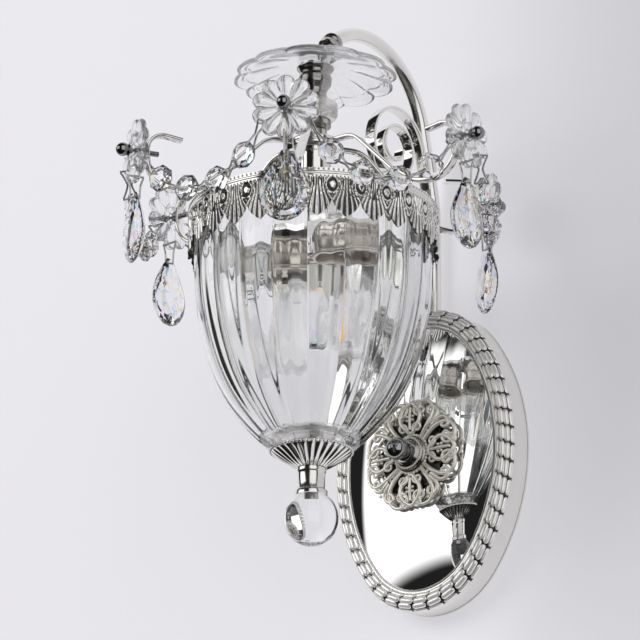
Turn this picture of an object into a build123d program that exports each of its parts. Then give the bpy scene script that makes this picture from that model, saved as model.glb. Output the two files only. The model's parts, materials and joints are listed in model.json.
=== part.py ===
import os
from math import cos, hypot, pi, radians, sin

from build123d import *

os.makedirs("parts", exist_ok=True)

# A crystal wall sconce: a fluted glass bell hung from a gooseneck on an oval wall plate.
# Millimetres. The wall is the plane Y = 0, the lamp stands out along -Y and Z is up.
# The origin is the centre of the mounting bar on the wall.

# Fits
turning_clearance = 0.05
seat_gap = 0.05
stud_hole_gap = 0.2

# Wall plate, an oval of four tangent arcs
plate_half_width = 61.0
plate_half_height = 86.8
plate_end_radius = 48.0
plate_depth = 14.0
plate_wall = 1.6
shadow_groove_out = 1.2
shadow_groove_width = 0.8
shadow_groove_depth = 0.8
plate_dome = 11.5
plate_dome_semi_axis = 20.0
plate_dome_inset = 13.4
border_width = 13.0
border_height = 6.0
border_overhang = 0.85

# Mounting bar and centre stud
bar_length = 106.0
bar_width = 16.0
bar_thickness = 2.5
bar_slot_end = 8.55
bar_slot_length = 10.0
bar_slot_radius = 2.3
stud_radius = 3.0

# Openwork rosette in front of the plate
rosette_thickness = 1.6
rosette_lobe_circle = 21.6
rosette_lobe_radius = 9.3
rosette_lobes = 8
rosette_core_radius = 17.0
rosette_lobe_hole_ratio = 0.4
rosette_lobe_hole_shift = 1.5
rosette_valley_hole_ratio = 0.24
rosette_valley_hole_shift = 1.2
rosette_ring_hole_ratio = 0.13
rosette_ring_hole_shift = 2.2
boss_radius = 10.5
boss_height = 5.5
boss_edge_ratio = 0.25
boss_round_height_ratio = 0.8
boss_round_radius_ratio = 0.88
boss_face_ratio = 0.62
knob_radius = 6.3
knob_neck_radius = 4.6
knob_neck_height = 2.0
knob_seat_ratio = 0.88

# Gooseneck
tube_radius = 4.1
tube_bore = 2.8
foot_out = 6.0
foot_height = 78.0
lean_start_drop = 65.9
lean_radius = 90.0
arm_lean = 14.0
slope_length = 37.7
axis_out = 116.0
stem_depth_in_column = 23.0
arm_nut_radius = 5.6
arm_nut_height = 5.5
arm_nut_lift = 1.0

# Scroll under the gooseneck
scroll_width = 6.0
scroll_thickness = 1.8
scroll_contact = 5.0
scroll_leave_radius = 20.0
scroll_leave_angle = 25.0
scroll_straight = 24.0
scroll_radii = (15.5, 12.0, 9.0, 6.0)

# Collar on the gooseneck above the dish
collar_angle = 43.0
collar_radius = 5.9
collar_length = 8.0
collar_bore_gap = 0.22
collar_ring_ratio = 0.4
collar_groove_ratio = 0.9

# Glass dish and the metal cup that carries it
dish_radius = 45.5
dish_seat_height = 206.5
dish_fall = 11.5
dish_seat_radius = 17.0
dish_hole_radius = 11.6
dish_thickness = 4.2
dish_lobes = 12
dish_lobe_radius = 12.5
dish_shoulder_ratio = 0.76
dish_under_fall_ratio = 0.3
dish_over_fall_ratio = 0.22
dish_scallop_trim = 2.0
dish_valley_ratio = 0.78
cup_radius = 13.6
cup_mouth_bore = 9.0
cup_neck_radius = 6.2
cup_drop = 25.5
cup_neck_height = 8.0
cup_waist_ratio = 0.66
cup_throat_ratio = 0.76
cup_flange = 1.5

# Stem pieces under the cup
barrel_radius = 8.0
barrel_height = 10.0
barrel_chamfer = 1.2
ring_radius = 6.6
ring_height = 4.5
lock_nut_radius = 5.4
lock_nut_height = 7.35

# Column, hub and lamp bar
column_length = 49.0
column_radius = 9.75
hub_radius = 14.0
hub_drop = 6.5
hub_height = 6.0
hub_chamfer = 0.8
lamp_spacing = 48.0
lamp_bar_thickness = 3.4
lamp_bar_end_radius = 7.0
lamp_bar_boss_margin = 2.0

# Six strap arms
arm_angles = (-150, -90, -30, 30, 90, 150)
strap_width = 4.6
strap_thickness = 1.6
strap_lift = 3.5
strap_level_end = 22.0
strap_shoulder_radius = 14.0
strap_fall = 45.0
strap_fall_length = 34.0
strap_valley_radius = 36.0
strap_curl_radius = 16.0
strap_rise = 5.0
strap_top_radius = 9.5
strap_top_turn = 97.0
strap_tip_length = 9.0

# Pierced gallery band
band_radius = 68.2
band_thickness = 1.2
band_lift = 6.3
band_strip = 5.4
leaf_length = 21.7
leaf_count = 27
leaf_gap_height = 12.0
leaf_tip_half_width = 0.7
leaf_side_ratio = 0.42
leaf_side_height_ratio = 0.36
leaf_cut_margin = 1.0
eyelet_radius = 2.0
eyelet_drop = 3.6
shelf_width = 0.7
shelf_height = 1.6
shelf_drop = 4.3
tab_width = 4.0
tab_depth_ratio = 0.8

# Fluted glass bell: drop below its top and crest radius of each section
flute_count = 20
flute_depth_ratio = 0.028
bell_outline = (
    (0.0, 65.7),
    (23.4, 65.5),
    (49.9, 64.4),
    (71.4, 60.9),
    (89.4, 55.6),
    (102.4, 49.8),
    (112.8, 43.2),
    (123.4, 34.6),
    (131.4, 26.6),
    (135.4, 21.8),
)
bell_wall = 4.6
bell_floor = 6.0
bell_lip_height = 3.4
bell_lip_overlap = 1.15
bell_hole_radius = 2.9

# Finial
finial_stud_radius = 2.5
finial_cup_radius = 22.0
finial_cup_height = 10.5
finial_cup_rim = 1.0
finial_cup_side_ratio = 0.72
finial_cup_side_height_ratio = 0.46
finial_neck_radius = 8.0
finial_ring_radius = 8.9
finial_ring_height = 3.0
finial_waist_ratio = 0.94
finial_collar_height = 2.5
ball_radius = 15.0
ball_drop = 38.3
stud_depth_in_ball = 8.0
finial_nut_radius = 5.0
finial_nut_height = 5.0
finial_washer_ratio = 1.5
finial_washer_height = 1.2
finial_stud_proud = 4.0
finial_stud_chamfer = 0.6

# Lamp sockets and bulbs
socket_radius = 14.3
socket_height = 22.4
socket_shoulder = 9.0
socket_wall = 1.4
socket_sleeve_radius = 9.0
socket_sleeve_inset = 2.0
socket_top_radius = 5.0
socket_dome_ratio = 0.8
socket_dome_fall_ratio = 0.32
socket_dome_inset_ratio = 0.72
base_radius = 6.5
base_length = 20.0
base_reach = 3.0
base_chamfer = 2.0
bulb_radius = 12.6
bulb_length = 54.0
bulb_wall = 0.9
bulb_middle_ratio = 0.46
bulb_neck_inset = 0.5
bulb_neck_flare = 0.5
filament_radius = 0.7
filament_circle = 4.0
filament_count = 4
filament_length = 35.0
filament_stem_length = 9.0
filament_stem_radius = 3.0
filament_plate_radius = 5.5
filament_plate_height = 1.0

# Crystal rosettes on their pins
station_drop = 19.5
flower_inner = 100.0
flower_thickness = 7.5
petal_count = 10
petal_circle = 13.4
petal_radius = 4.9
petal_face_ratio = 0.85
pin_radius = 1.5
pin_collar_radius = 3.6
pin_head_radius = 3.8

# Wire loops, drops and swags; the drop's outline is in shares of its half width and length
wire_radius = 0.5
wire_hole_radius = 0.58
loop_corner = 1.0
loop_side_gap = 0.2
end_loop_gap = 1.9
end_loop_skew = 18.0
drop_petal_offset = 14.6
drop_pivot_offset = 27.5
drop_top_margin = 3.4
drop_length = 39.5
drop_half_width = 13.8
drop_girdle = 2.4
drop_crown_height = 3.0
drop_crown_taper = 42.0
drop_outline = (
    (0.13, 0.0),
    (0.52, 0.2),
    (0.9, 0.45),
    (1.0, 0.62),
    (0.9, 0.79),
    (0.55, 0.94),
    (0.16, 1.0),
)
swag_side_offset = 12.0
swag_drop_offset = 7.2
swag_angles = (51.0, 28.0)
swag_petal_hole_radius = 2.2
bead_width = 14.0
bead_sides = 8
bead_girdle = 1.8
bead_crown_height = 2.4
bead_crown_taper = 42.0
bead_hole_offset = 5.0
bead_hole_radius = 0.8
bead_end_hole_radius = 1.6

# Derived places; the lamp hangs from the dish's seat, so its heights follow that one
bar_slot_spacing = bar_length - 2 * bar_slot_end
plate_front = plate_depth
border_inset = border_width / 2 - border_overhang
dome_front = plate_front + plate_dome
rosette_back = dome_front + seat_gap
rosette_front = rosette_back + rosette_thickness
boss_front = rosette_front + boss_height
knob_out = boss_front + knob_neck_height + knob_seat_ratio * knob_radius
lean_start = dish_seat_height - lean_start_drop
lean_end_out = foot_out + lean_radius * (1 - cos(radians(arm_lean)))
lean_end_height = lean_start + lean_radius * sin(radians(arm_lean))
arch_start_out = lean_end_out + slope_length * sin(radians(arm_lean))
arch_start_height = lean_end_height + slope_length * cos(radians(arm_lean))
arch_radius = (axis_out - arch_start_out) / (1 + cos(radians(arm_lean)))
arch_end_height = arch_start_height - arch_radius * sin(radians(arm_lean))
dish_rim_height = dish_seat_height - dish_fall
cup_bottom = dish_seat_height - cup_drop
barrel_top = cup_bottom - seat_gap
ring_top = barrel_top - barrel_height - seat_gap
column_top = ring_top - ring_height - lock_nut_height - seat_gap
column_bottom = column_top - column_length
stem_bottom = column_top - stem_depth_in_column
hub_bottom = column_top - hub_drop
strap_height = hub_bottom + strap_lift
station_height = strap_height - station_drop
strap_start = hub_radius + seat_gap
shoulder_turn = radians(strap_fall)
fall_end = (
    strap_level_end
    + strap_shoulder_radius * sin(shoulder_turn)
    + strap_fall_length * cos(shoulder_turn)
)
fall_end_height = (
    strap_height
    - strap_shoulder_radius * (1 - cos(shoulder_turn))
    - strap_fall_length * sin(shoulder_turn)
)
valley_out = fall_end + strap_valley_radius * sin(shoulder_turn)
valley_height = fall_end_height - strap_valley_radius * (1 - cos(shoulder_turn))
strap_face_out = valley_out + strap_curl_radius + strap_thickness / 2
band_inner = band_radius - band_thickness
band_top = column_bottom + band_lift
shelf_top = band_top - shelf_drop
band_bottom = band_top - band_strip - leaf_length
leaf_gap_half = pi * band_radius / leaf_count - leaf_tip_half_width
bell_top = shelf_top + bell_lip_height
bell_sections = [(bell_top - drop, crest) for drop, crest in bell_outline]
lip_radius = bell_sections[0][1] + bell_lip_overlap
bell_bottom = bell_sections[-1][0]
bell_bottom_radius = bell_sections[-1][1]
finial_cup_top = bell_bottom - seat_gap
finial_cup_bottom = finial_cup_top - finial_cup_height
finial_neck_top = finial_cup_bottom - seat_gap
ball_height = bell_bottom - ball_drop
ball_top = ball_height + ball_radius
finial_nut_bottom = bell_bottom + bell_floor + seat_gap
lamp_bar_top = column_bottom - seat_gap
lamp_bar_bottom = lamp_bar_top - lamp_bar_thickness
socket_top = lamp_bar_bottom - seat_gap
socket_bottom = socket_top - socket_height
dome_radius = socket_dome_ratio * socket_radius
dome_height = socket_top - socket_dome_fall_ratio * socket_shoulder
base_bottom = socket_bottom - base_reach
bulb_bottom = base_bottom - bulb_length
flower_outer = flower_inner + flower_thickness
flower_middle = flower_inner + flower_thickness / 2
pin_head_out = flower_outer + pin_head_radius + seat_gap
drop_pivot_height = station_height - drop_pivot_offset
half_step = (arm_angles[1] - arm_angles[0]) / 2
half_turn = radians(half_step)
swag_plane_out = flower_middle * cos(half_turn) + swag_side_offset * sin(half_turn)
swag_half_span = flower_middle * sin(half_turn) - swag_side_offset * cos(half_turn)
steep = radians(swag_angles[0])
shallow = radians(swag_angles[1])
bead_pitch = swag_half_span / (cos(steep) + cos(shallow) + 0.5)
swag_end_height = station_height - swag_drop_offset


def save(solid, name):
    """Names a finished piece and writes its file."""
    solid.label = name
    export_step(solid, f"parts/{name}.step")


def radial_plane(angle):
    """The upright plane through the bell's axis: local X outwards, local Y up."""
    turn = radians(angle)
    return Plane(
        origin=(0, -axis_out, 0),
        x_dir=(sin(turn), -cos(turn), 0),
        z_dir=(-cos(turn), -sin(turn), 0),
    )


def facing_plane(angle, out, height):
    """A plane that faces outwards at a distance from the bell's axis: local Y is up."""
    turn = radians(angle)
    return Plane(
        origin=(out * sin(turn), -axis_out - out * cos(turn), height),
        x_dir=(cos(turn), sin(turn), 0),
        z_dir=(sin(turn), -cos(turn), 0),
    )


def axis_plane(height):
    """A level plane centred on the bell's axis."""
    return Plane(origin=(0, -axis_out, height))


def lamp_plane(side):
    """The upright plane through one lamp's axis: local X outwards, local Y up."""
    return Plane(
        origin=(side * lamp_spacing / 2, -axis_out, 0), x_dir=(1, 0, 0), z_dir=(0, -1, 0)
    )


def lamp_axis(side):
    """The upright axis of one lamp."""
    return Axis((side * lamp_spacing / 2, -axis_out, 0), (0, 0, 1))


bell_axis = Axis((0, -axis_out, 0), (0, 0, 1))
wall_axis = Axis((0, 0, 0), (0, -1, 0))


def oval_lines(inset):
    """Draws the plate's oval, moved in by an even distance."""
    half_width = plate_half_width - inset
    half_height = plate_half_height - inset
    end_radius = plate_end_radius - inset
    end_centre = half_height - end_radius
    side_radius = (half_width**2 + end_centre**2 - end_radius**2) / (2 * (half_width - end_radius))
    side_centre = side_radius - half_width
    reach = hypot(side_centre, end_centre)
    join_x = end_radius * side_centre / reach
    join_z = end_centre + end_radius * end_centre / reach
    ThreePointArc((-join_x, join_z), (0, half_height), (join_x, join_z))
    ThreePointArc((join_x, join_z), (half_width, 0), (join_x, -join_z))
    ThreePointArc((join_x, -join_z), (0, -half_height), (-join_x, -join_z))
    ThreePointArc((-join_x, -join_z), (-half_width, 0), (-join_x, join_z))


def dome(inset):
    """The cap of an ellipsoid that swells out of the plate's face, moved in by an even distance."""
    semi_axis = plate_dome_semi_axis - inset
    centre_out = dome_front - plate_dome_semi_axis
    share = (1 - ((plate_front - centre_out) / plate_dome_semi_axis) ** 2) ** 0.5
    with BuildPart() as cap:
        Sphere(semi_axis)
        scale(
            by=(
                ((plate_half_width - plate_dome_inset) / share - inset) / semi_axis,
                1,
                ((plate_half_height - plate_dome_inset) / share - inset) / semi_axis,
            )
        )
        with BuildSketch(Plane.XZ.offset(plate_depth - plate_wall - centre_out)):
            Rectangle(4 * plate_half_width, 4 * plate_half_height)
        extrude(amount=-4 * plate_dome_semi_axis, mode=Mode.SUBTRACT)
    return Pos(0, -centre_out, 0) * cap.part


# Oval pan, open towards the wall, domed in front, with the stud's hole and the arm's entry hole
with BuildPart() as wall_plate:
    with BuildSketch(Plane.XZ):
        with BuildLine():
            oval_lines(0)
        make_face()
    extrude(amount=plate_depth)
    with BuildSketch(Plane.XZ):
        with BuildLine():
            oval_lines(plate_wall)
        make_face()
    extrude(amount=plate_depth - plate_wall, mode=Mode.SUBTRACT)
    add(dome(0))
    add(dome(plate_wall), mode=Mode.SUBTRACT)
    with BuildSketch(Plane.XZ):
        Circle(stud_radius + stud_hole_gap)
    extrude(amount=2 * dome_front, mode=Mode.SUBTRACT)
    with BuildSketch(Plane.XY.offset(foot_height)):
        with Locations((0, -foot_out)):
            Circle(tube_radius + seat_gap)
    extrude(amount=2 * (plate_half_height - foot_height), mode=Mode.SUBTRACT)
    with BuildSketch(Plane.XZ.offset(shadow_groove_out)):
        with BuildLine():
            oval_lines(-plate_wall)
        make_face()
        with BuildLine():
            oval_lines(shadow_groove_depth)
        make_face(mode=Mode.SUBTRACT)
    extrude(amount=shadow_groove_width, mode=Mode.SUBTRACT)
save(wall_plate.part, "wall_plate")

# Half-round moulding that carries the rope pattern
with BuildPart() as rope_border:
    with BuildLine(Plane.XZ.offset(plate_front)) as border_path:
        oval_lines(border_inset)
    border_wire = border_path.wire()
    with BuildSketch(Plane(origin=border_wire @ 0, x_dir=(0, -1, 0), z_dir=border_wire % 0)):
        with BuildLine():
            ThreePointArc((0, -border_width / 2), (border_height, 0), (0, border_width / 2))
            Line((0, border_width / 2), (0, -border_width / 2))
        make_face()
    sweep(path=border_wire)
save(rope_border.part, "rope_border")

# Bar that is screwed to the wall box, with two slots and a tapped centre
with BuildPart() as mounting_bar:
    with BuildSketch(Plane.XZ):
        RectangleRounded(bar_length, bar_width, bar_width / 4)
        with Locations((-bar_slot_spacing / 2, 0), (bar_slot_spacing / 2, 0)):
            SlotOverall(bar_slot_length, 2 * bar_slot_radius, mode=Mode.SUBTRACT)
        Circle(stud_radius, mode=Mode.SUBTRACT)
    extrude(amount=bar_thickness)
save(mounting_bar.part, "mounting_bar")

with BuildPart() as centre_stud:
    with BuildSketch(Plane.XZ):
        Circle(stud_radius)
    extrude(amount=knob_out)
save(centre_stud.part, "centre_stud")

# Eight-lobed openwork rosette
with BuildPart() as plate_rosette:
    with BuildSketch(Plane.XZ.offset(rosette_back)):
        Circle(rosette_core_radius)
        with PolarLocations(rosette_lobe_circle, rosette_lobes):
            Circle(rosette_lobe_radius)
        with PolarLocations(rosette_lobe_circle + rosette_lobe_hole_shift, rosette_lobes):
            Circle(rosette_lobe_hole_ratio * rosette_lobe_radius, mode=Mode.SUBTRACT)
        valley_circle = rosette_core_radius + rosette_valley_hole_shift
        with PolarLocations(valley_circle, rosette_lobes, start_angle=180 / rosette_lobes):
            Circle(rosette_valley_hole_ratio * rosette_lobe_radius, mode=Mode.SUBTRACT)
        ring_circle = boss_radius + rosette_ring_hole_shift
        with PolarLocations(ring_circle, 2 * rosette_lobes, start_angle=90 / rosette_lobes):
            Circle(rosette_ring_hole_ratio * rosette_lobe_radius, mode=Mode.SUBTRACT)
        Circle(stud_radius + stud_hole_gap, mode=Mode.SUBTRACT)
    extrude(amount=rosette_thickness)
save(plate_rosette.part, "plate_rosette")

# Turned boss between the rosette and the knob
with BuildPart() as rosette_boss:
    with BuildSketch(Plane.YZ):
        with BuildLine():
            Polyline(
                (-rosette_front, stud_radius + stud_hole_gap),
                (-rosette_front, boss_radius),
                (-rosette_front - boss_edge_ratio * boss_height, boss_radius),
            )
            ThreePointArc(
                (-rosette_front - boss_edge_ratio * boss_height, boss_radius),
                (
                    -rosette_front - boss_round_height_ratio * boss_height,
                    boss_round_radius_ratio * boss_radius,
                ),
                (-boss_front, boss_face_ratio * boss_radius),
            )
            Polyline(
                (-boss_front, boss_face_ratio * boss_radius),
                (-boss_front, stud_radius + stud_hole_gap),
                (-rosette_front, stud_radius + stud_hole_gap),
            )
        make_face()
    revolve(axis=wall_axis)
save(rosette_boss.part, "rosette_boss")

# Ball-shaped cap nut that clamps the plate
with BuildPart() as plate_knob:
    with BuildSketch(Plane.XZ.offset(boss_front + seat_gap)):
        Circle(knob_neck_radius)
    extrude(amount=knob_neck_height + knob_radius / 2)
    with Locations((0, -knob_out, 0)):
        Sphere(knob_radius)
    with BuildSketch(Plane.XZ.offset(boss_front)):
        Circle(stud_radius + turning_clearance)
    extrude(amount=knob_out - boss_front + seat_gap, mode=Mode.SUBTRACT)
save(plate_knob.part, "plate_knob")

# Gooseneck tube: up from the plate, over the arch and down the bell's axis
with BuildPart() as gooseneck:
    with BuildLine(Plane.YZ) as arm_path:
        foot = Line((-foot_out, foot_height), (-foot_out, lean_start))
        lean = JernArc(foot @ 1, foot % 1, lean_radius, arm_lean)
        slope = Line(lean @ 1, lean @ 1 + (lean % 1) * slope_length)
        arch = JernArc(slope @ 1, slope % 1, arch_radius, 180 - arm_lean)
        Line(arch @ 1, arch @ 1 + (arch % 1) * (arch_end_height - stem_bottom))
    with BuildSketch(Plane.XY.offset(foot_height)):
        with Locations((0, -foot_out)):
            Circle(tube_radius)
            Circle(tube_bore, mode=Mode.SUBTRACT)
    sweep(path=arm_path.wire())
save(gooseneck.part, "gooseneck")

# Nut on the tube inside the pan
with BuildPart() as arm_nut:
    with BuildSketch(Plane.XY.offset(foot_height + arm_nut_lift)):
        with Locations((0, -foot_out)):
            RegularPolygon(arm_nut_radius, 6)
            Circle(tube_radius + seat_gap / 2, mode=Mode.SUBTRACT)
    extrude(amount=arm_nut_height)
save(arm_nut.part, "arm_nut")

# Strap scroll: it lies on the tube's straight rise, then curls into a spiral
with BuildPart() as arm_scroll:
    lean_turn = radians(arm_lean)
    off = tube_radius + scroll_thickness / 2 + seat_gap
    with BuildLine(Plane.YZ) as scroll_path:
        contact = Line(
            (-lean_end_out - off * cos(lean_turn), lean_end_height - off * sin(lean_turn)),
            (
                -lean_end_out - off * cos(lean_turn) - scroll_contact * sin(lean_turn),
                lean_end_height - off * sin(lean_turn) + scroll_contact * cos(lean_turn),
            ),
        )
        leave = JernArc(contact @ 1, contact % 1, scroll_leave_radius, scroll_leave_angle)
        turn = Line(leave @ 1, leave @ 1 + (leave % 1) * scroll_straight)
        for index, radius in enumerate(scroll_radii):
            sweep_angle = 180 - (0 if index else arm_lean + scroll_leave_angle)
            turn = JernArc(turn @ 1, turn % 1, radius, sweep_angle)
    with BuildSketch(Plane(origin=contact @ 0, x_dir=(1, 0, 0), z_dir=contact % 0)):
        Rectangle(scroll_width, scroll_thickness)
    sweep(path=scroll_path.wire())
save(arm_scroll.part, "arm_scroll")

# Double-ringed collar on the arch, square to the tube
with BuildPart() as arm_collar:
    turned = radians(collar_angle)
    collar_plane = Plane(
        origin=(
            0,
            -axis_out + arch_radius * (1 - cos(turned)),
            arch_end_height + arch_radius * sin(turned),
        ),
        x_dir=(1, 0, 0),
        z_dir=(0, sin(turned), cos(turned)),
    )
    with BuildSketch(collar_plane.offset(-collar_length / 2)):
        Circle(collar_radius)
    extrude(amount=collar_ring_ratio * collar_length)
    with BuildSketch(collar_plane.offset(-collar_length / 2)):
        Circle(collar_groove_ratio * collar_radius)
    extrude(amount=collar_length)
    with BuildSketch(collar_plane.offset((0.5 - collar_ring_ratio) * collar_length)):
        Circle(collar_radius)
    extrude(amount=collar_ring_ratio * collar_length)
    with BuildSketch(collar_plane.offset(-collar_length)):
        Circle(tube_radius + collar_bore_gap)
    extrude(amount=2 * collar_length, mode=Mode.SUBTRACT)
save(arm_collar.part, "arm_collar")

# Scalloped glass dish, open downwards
with BuildPart() as glass_dish:
    with BuildSketch(radial_plane(0)):
        with BuildLine():
            Polyline(
                (dish_hole_radius, dish_seat_height),
                (dish_seat_radius, dish_seat_height),
            )
            ThreePointArc(
                (dish_seat_radius, dish_seat_height),
                (dish_shoulder_ratio * dish_radius, dish_seat_height - dish_under_fall_ratio * dish_fall),
                (dish_radius + dish_scallop_trim, dish_rim_height),
            )
            Polyline(
                (dish_radius + dish_scallop_trim, dish_rim_height),
                (dish_radius + dish_scallop_trim, dish_rim_height + dish_thickness),
            )
            ThreePointArc(
                (dish_radius + dish_scallop_trim, dish_rim_height + dish_thickness),
                (
                    dish_shoulder_ratio * dish_radius,
                    dish_seat_height + dish_thickness - dish_over_fall_ratio * dish_fall,
                ),
                (dish_seat_radius, dish_seat_height + dish_thickness),
            )
            Polyline(
                (dish_seat_radius, dish_seat_height + dish_thickness),
                (dish_hole_radius, dish_seat_height + dish_thickness),
                (dish_hole_radius, dish_seat_height),
            )
        make_face()
    revolve(axis=bell_axis)
    with BuildSketch(axis_plane(dish_rim_height - dish_thickness)):
        Circle(dish_valley_ratio * dish_radius)
        with PolarLocations(dish_radius - dish_lobe_radius, dish_lobes):
            Circle(dish_lobe_radius)
    extrude(amount=2 * dish_fall + dish_thickness, mode=Mode.INTERSECT)
save(glass_dish.part, "glass_dish")

# Metal cup under the dish; its bore opens upwards so that the curved tube runs in
with BuildPart() as dish_cup:
    cup_top = dish_seat_height - seat_gap
    with BuildSketch(radial_plane(0)):
        with BuildLine():
            Polyline(
                (tube_radius + seat_gap, cup_bottom),
                (cup_neck_radius, cup_bottom),
                (cup_neck_radius, cup_bottom + cup_neck_height),
            )
            ThreePointArc(
                (cup_neck_radius, cup_bottom + cup_neck_height),
                (cup_waist_ratio * cup_radius, cup_top - cup_neck_height),
                (cup_throat_ratio * cup_radius, cup_top - cup_flange),
            )
            Polyline(
                (cup_throat_ratio * cup_radius, cup_top - cup_flange),
                (cup_radius, cup_top - cup_flange),
                (cup_radius, cup_top),
                (cup_mouth_bore, cup_top),
                (tube_radius + seat_gap, arch_end_height),
                (tube_radius + seat_gap, cup_bottom),
            )
        make_face()
    revolve(axis=bell_axis)
save(dish_cup.part, "dish_cup")

# Stem pieces threaded on the tube, from the cup down to the column
with BuildPart() as stem_barrel:
    with BuildSketch(axis_plane(barrel_top - barrel_height)):
        Circle(barrel_radius)
        Circle(tube_radius + seat_gap, mode=Mode.SUBTRACT)
    extrude(amount=barrel_height)
    chamfer(stem_barrel.edges().filter_by(GeomType.CIRCLE).sort_by(SortBy.RADIUS)[-2:], barrel_chamfer)
save(stem_barrel.part, "stem_barrel")

with BuildPart() as stem_nut:
    with BuildSketch(axis_plane(column_top + seat_gap)):
        RegularPolygon(lock_nut_radius, 6)
    extrude(amount=ring_top - ring_height - column_top - seat_gap)
    with BuildSketch(axis_plane(ring_top - ring_height)):
        Circle(ring_radius)
    extrude(amount=ring_height)
    with BuildSketch(axis_plane(column_top)):
        Circle(tube_radius + seat_gap)
    extrude(amount=ring_top - column_top, mode=Mode.SUBTRACT)
save(stem_nut.part, "stem_nut")

# Polished column that takes the tube's end in its bore
with BuildPart() as column:
    with BuildSketch(axis_plane(column_bottom)):
        Circle(column_radius)
    extrude(amount=column_top - column_bottom)
    with BuildSketch(axis_plane(stem_bottom - seat_gap)):
        Circle(tube_radius + seat_gap)
    extrude(amount=column_top - stem_bottom + seat_gap, mode=Mode.SUBTRACT)
save(column.part, "column")

with BuildPart() as arm_hub:
    with BuildSketch(axis_plane(hub_bottom)):
        Circle(hub_radius)
        Circle(column_radius + seat_gap, mode=Mode.SUBTRACT)
    extrude(amount=hub_height)
    chamfer(arm_hub.edges().filter_by(GeomType.CIRCLE).sort_by(SortBy.RADIUS)[-2:], hub_chamfer)
save(arm_hub.part, "arm_hub")


def strap_arm(number, angle):
    """One S-shaped strap from the hub to its crystal station."""
    plane = radial_plane(angle)
    with BuildPart() as strap:
        with BuildLine(plane) as strap_path:
            level = Line((strap_start, strap_height), (strap_level_end, strap_height))
            shoulder = JernArc(level @ 1, level % 1, strap_shoulder_radius, -strap_fall)
            fall = Line(shoulder @ 1, shoulder @ 1 + (shoulder % 1) * strap_fall_length)
            valley = JernArc(fall @ 1, fall % 1, strap_valley_radius, strap_fall)
            curl = JernArc(valley @ 1, valley % 1, strap_curl_radius, 90)
            rise = Line(curl @ 1, curl @ 1 + (curl % 1) * strap_rise)
            top = JernArc(rise @ 1, rise % 1, strap_top_radius, strap_top_turn)
            Line(top @ 1, top @ 1 + (top % 1) * strap_tip_length)
        with BuildSketch(Plane(origin=level @ 0, x_dir=plane.z_dir, z_dir=level % 0)):
            Rectangle(strap_width, strap_thickness)
        sweep(path=strap_path.wire())
    save(strap.part, f"strap_arm_{number}")


for number, angle in enumerate(arm_angles, 1):
    strap_arm(number, angle)

# Pierced band: a beaded strip with pointed leaves, an eyelet between each pair of leaves,
# an inner shelf for the bell's lip, and six tabs that reach up to the straps
tab_inner = band_radius - tab_depth_ratio * band_thickness
strap_underside = strap_valley_radius + strap_thickness / 2
valley_centre = valley_height + strap_valley_radius
tab_inner_top = valley_centre - (strap_underside**2 - (valley_out - tab_inner) ** 2) ** 0.5
tab_outer_top = valley_centre - (strap_underside**2 - (valley_out - band_radius) ** 2) ** 0.5
with BuildPart() as gallery_band:
    with BuildSketch(axis_plane(band_bottom)):
        Circle(band_radius)
        Circle(band_inner, mode=Mode.SUBTRACT)
    extrude(amount=band_top - band_bottom)
    for index in range(leaf_count):
        gap_angle = (index + 0.5) * 360 / leaf_count
        with BuildSketch(facing_plane(gap_angle, band_radius + leaf_cut_margin, band_bottom)):
            with BuildLine():
                Line((-leaf_gap_half, -leaf_cut_margin), (leaf_gap_half, -leaf_cut_margin))
                ThreePointArc(
                    (leaf_gap_half, -leaf_cut_margin),
                    (leaf_side_ratio * leaf_gap_half, leaf_side_height_ratio * leaf_gap_height),
                    (0, leaf_gap_height),
                )
                ThreePointArc(
                    (0, leaf_gap_height),
                    (-leaf_side_ratio * leaf_gap_half, leaf_side_height_ratio * leaf_gap_height),
                    (-leaf_gap_half, -leaf_cut_margin),
                )
            make_face()
            with Locations((0, leaf_length - eyelet_drop)):
                Circle(eyelet_radius)
    extrude(amount=-2 * (leaf_cut_margin + band_thickness), mode=Mode.SUBTRACT)
    with BuildSketch(axis_plane(shelf_top - shelf_height)):
        Circle(band_inner + band_thickness / 2)
        Circle(band_inner - shelf_width, mode=Mode.SUBTRACT)
    extrude(amount=shelf_height)
    for angle in arm_angles:
        with BuildSketch(radial_plane(angle)):
            with BuildLine():
                Polyline(
                    (tab_inner, band_top - band_strip / 2),
                    (band_radius, band_top - band_strip / 2),
                    (band_radius, tab_outer_top - seat_gap),
                    (tab_inner, tab_inner_top - seat_gap),
                    close=True,
                )
            make_face()
    extrude(amount=tab_width / 2, both=True)
save(gallery_band.part, "gallery_band")

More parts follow.
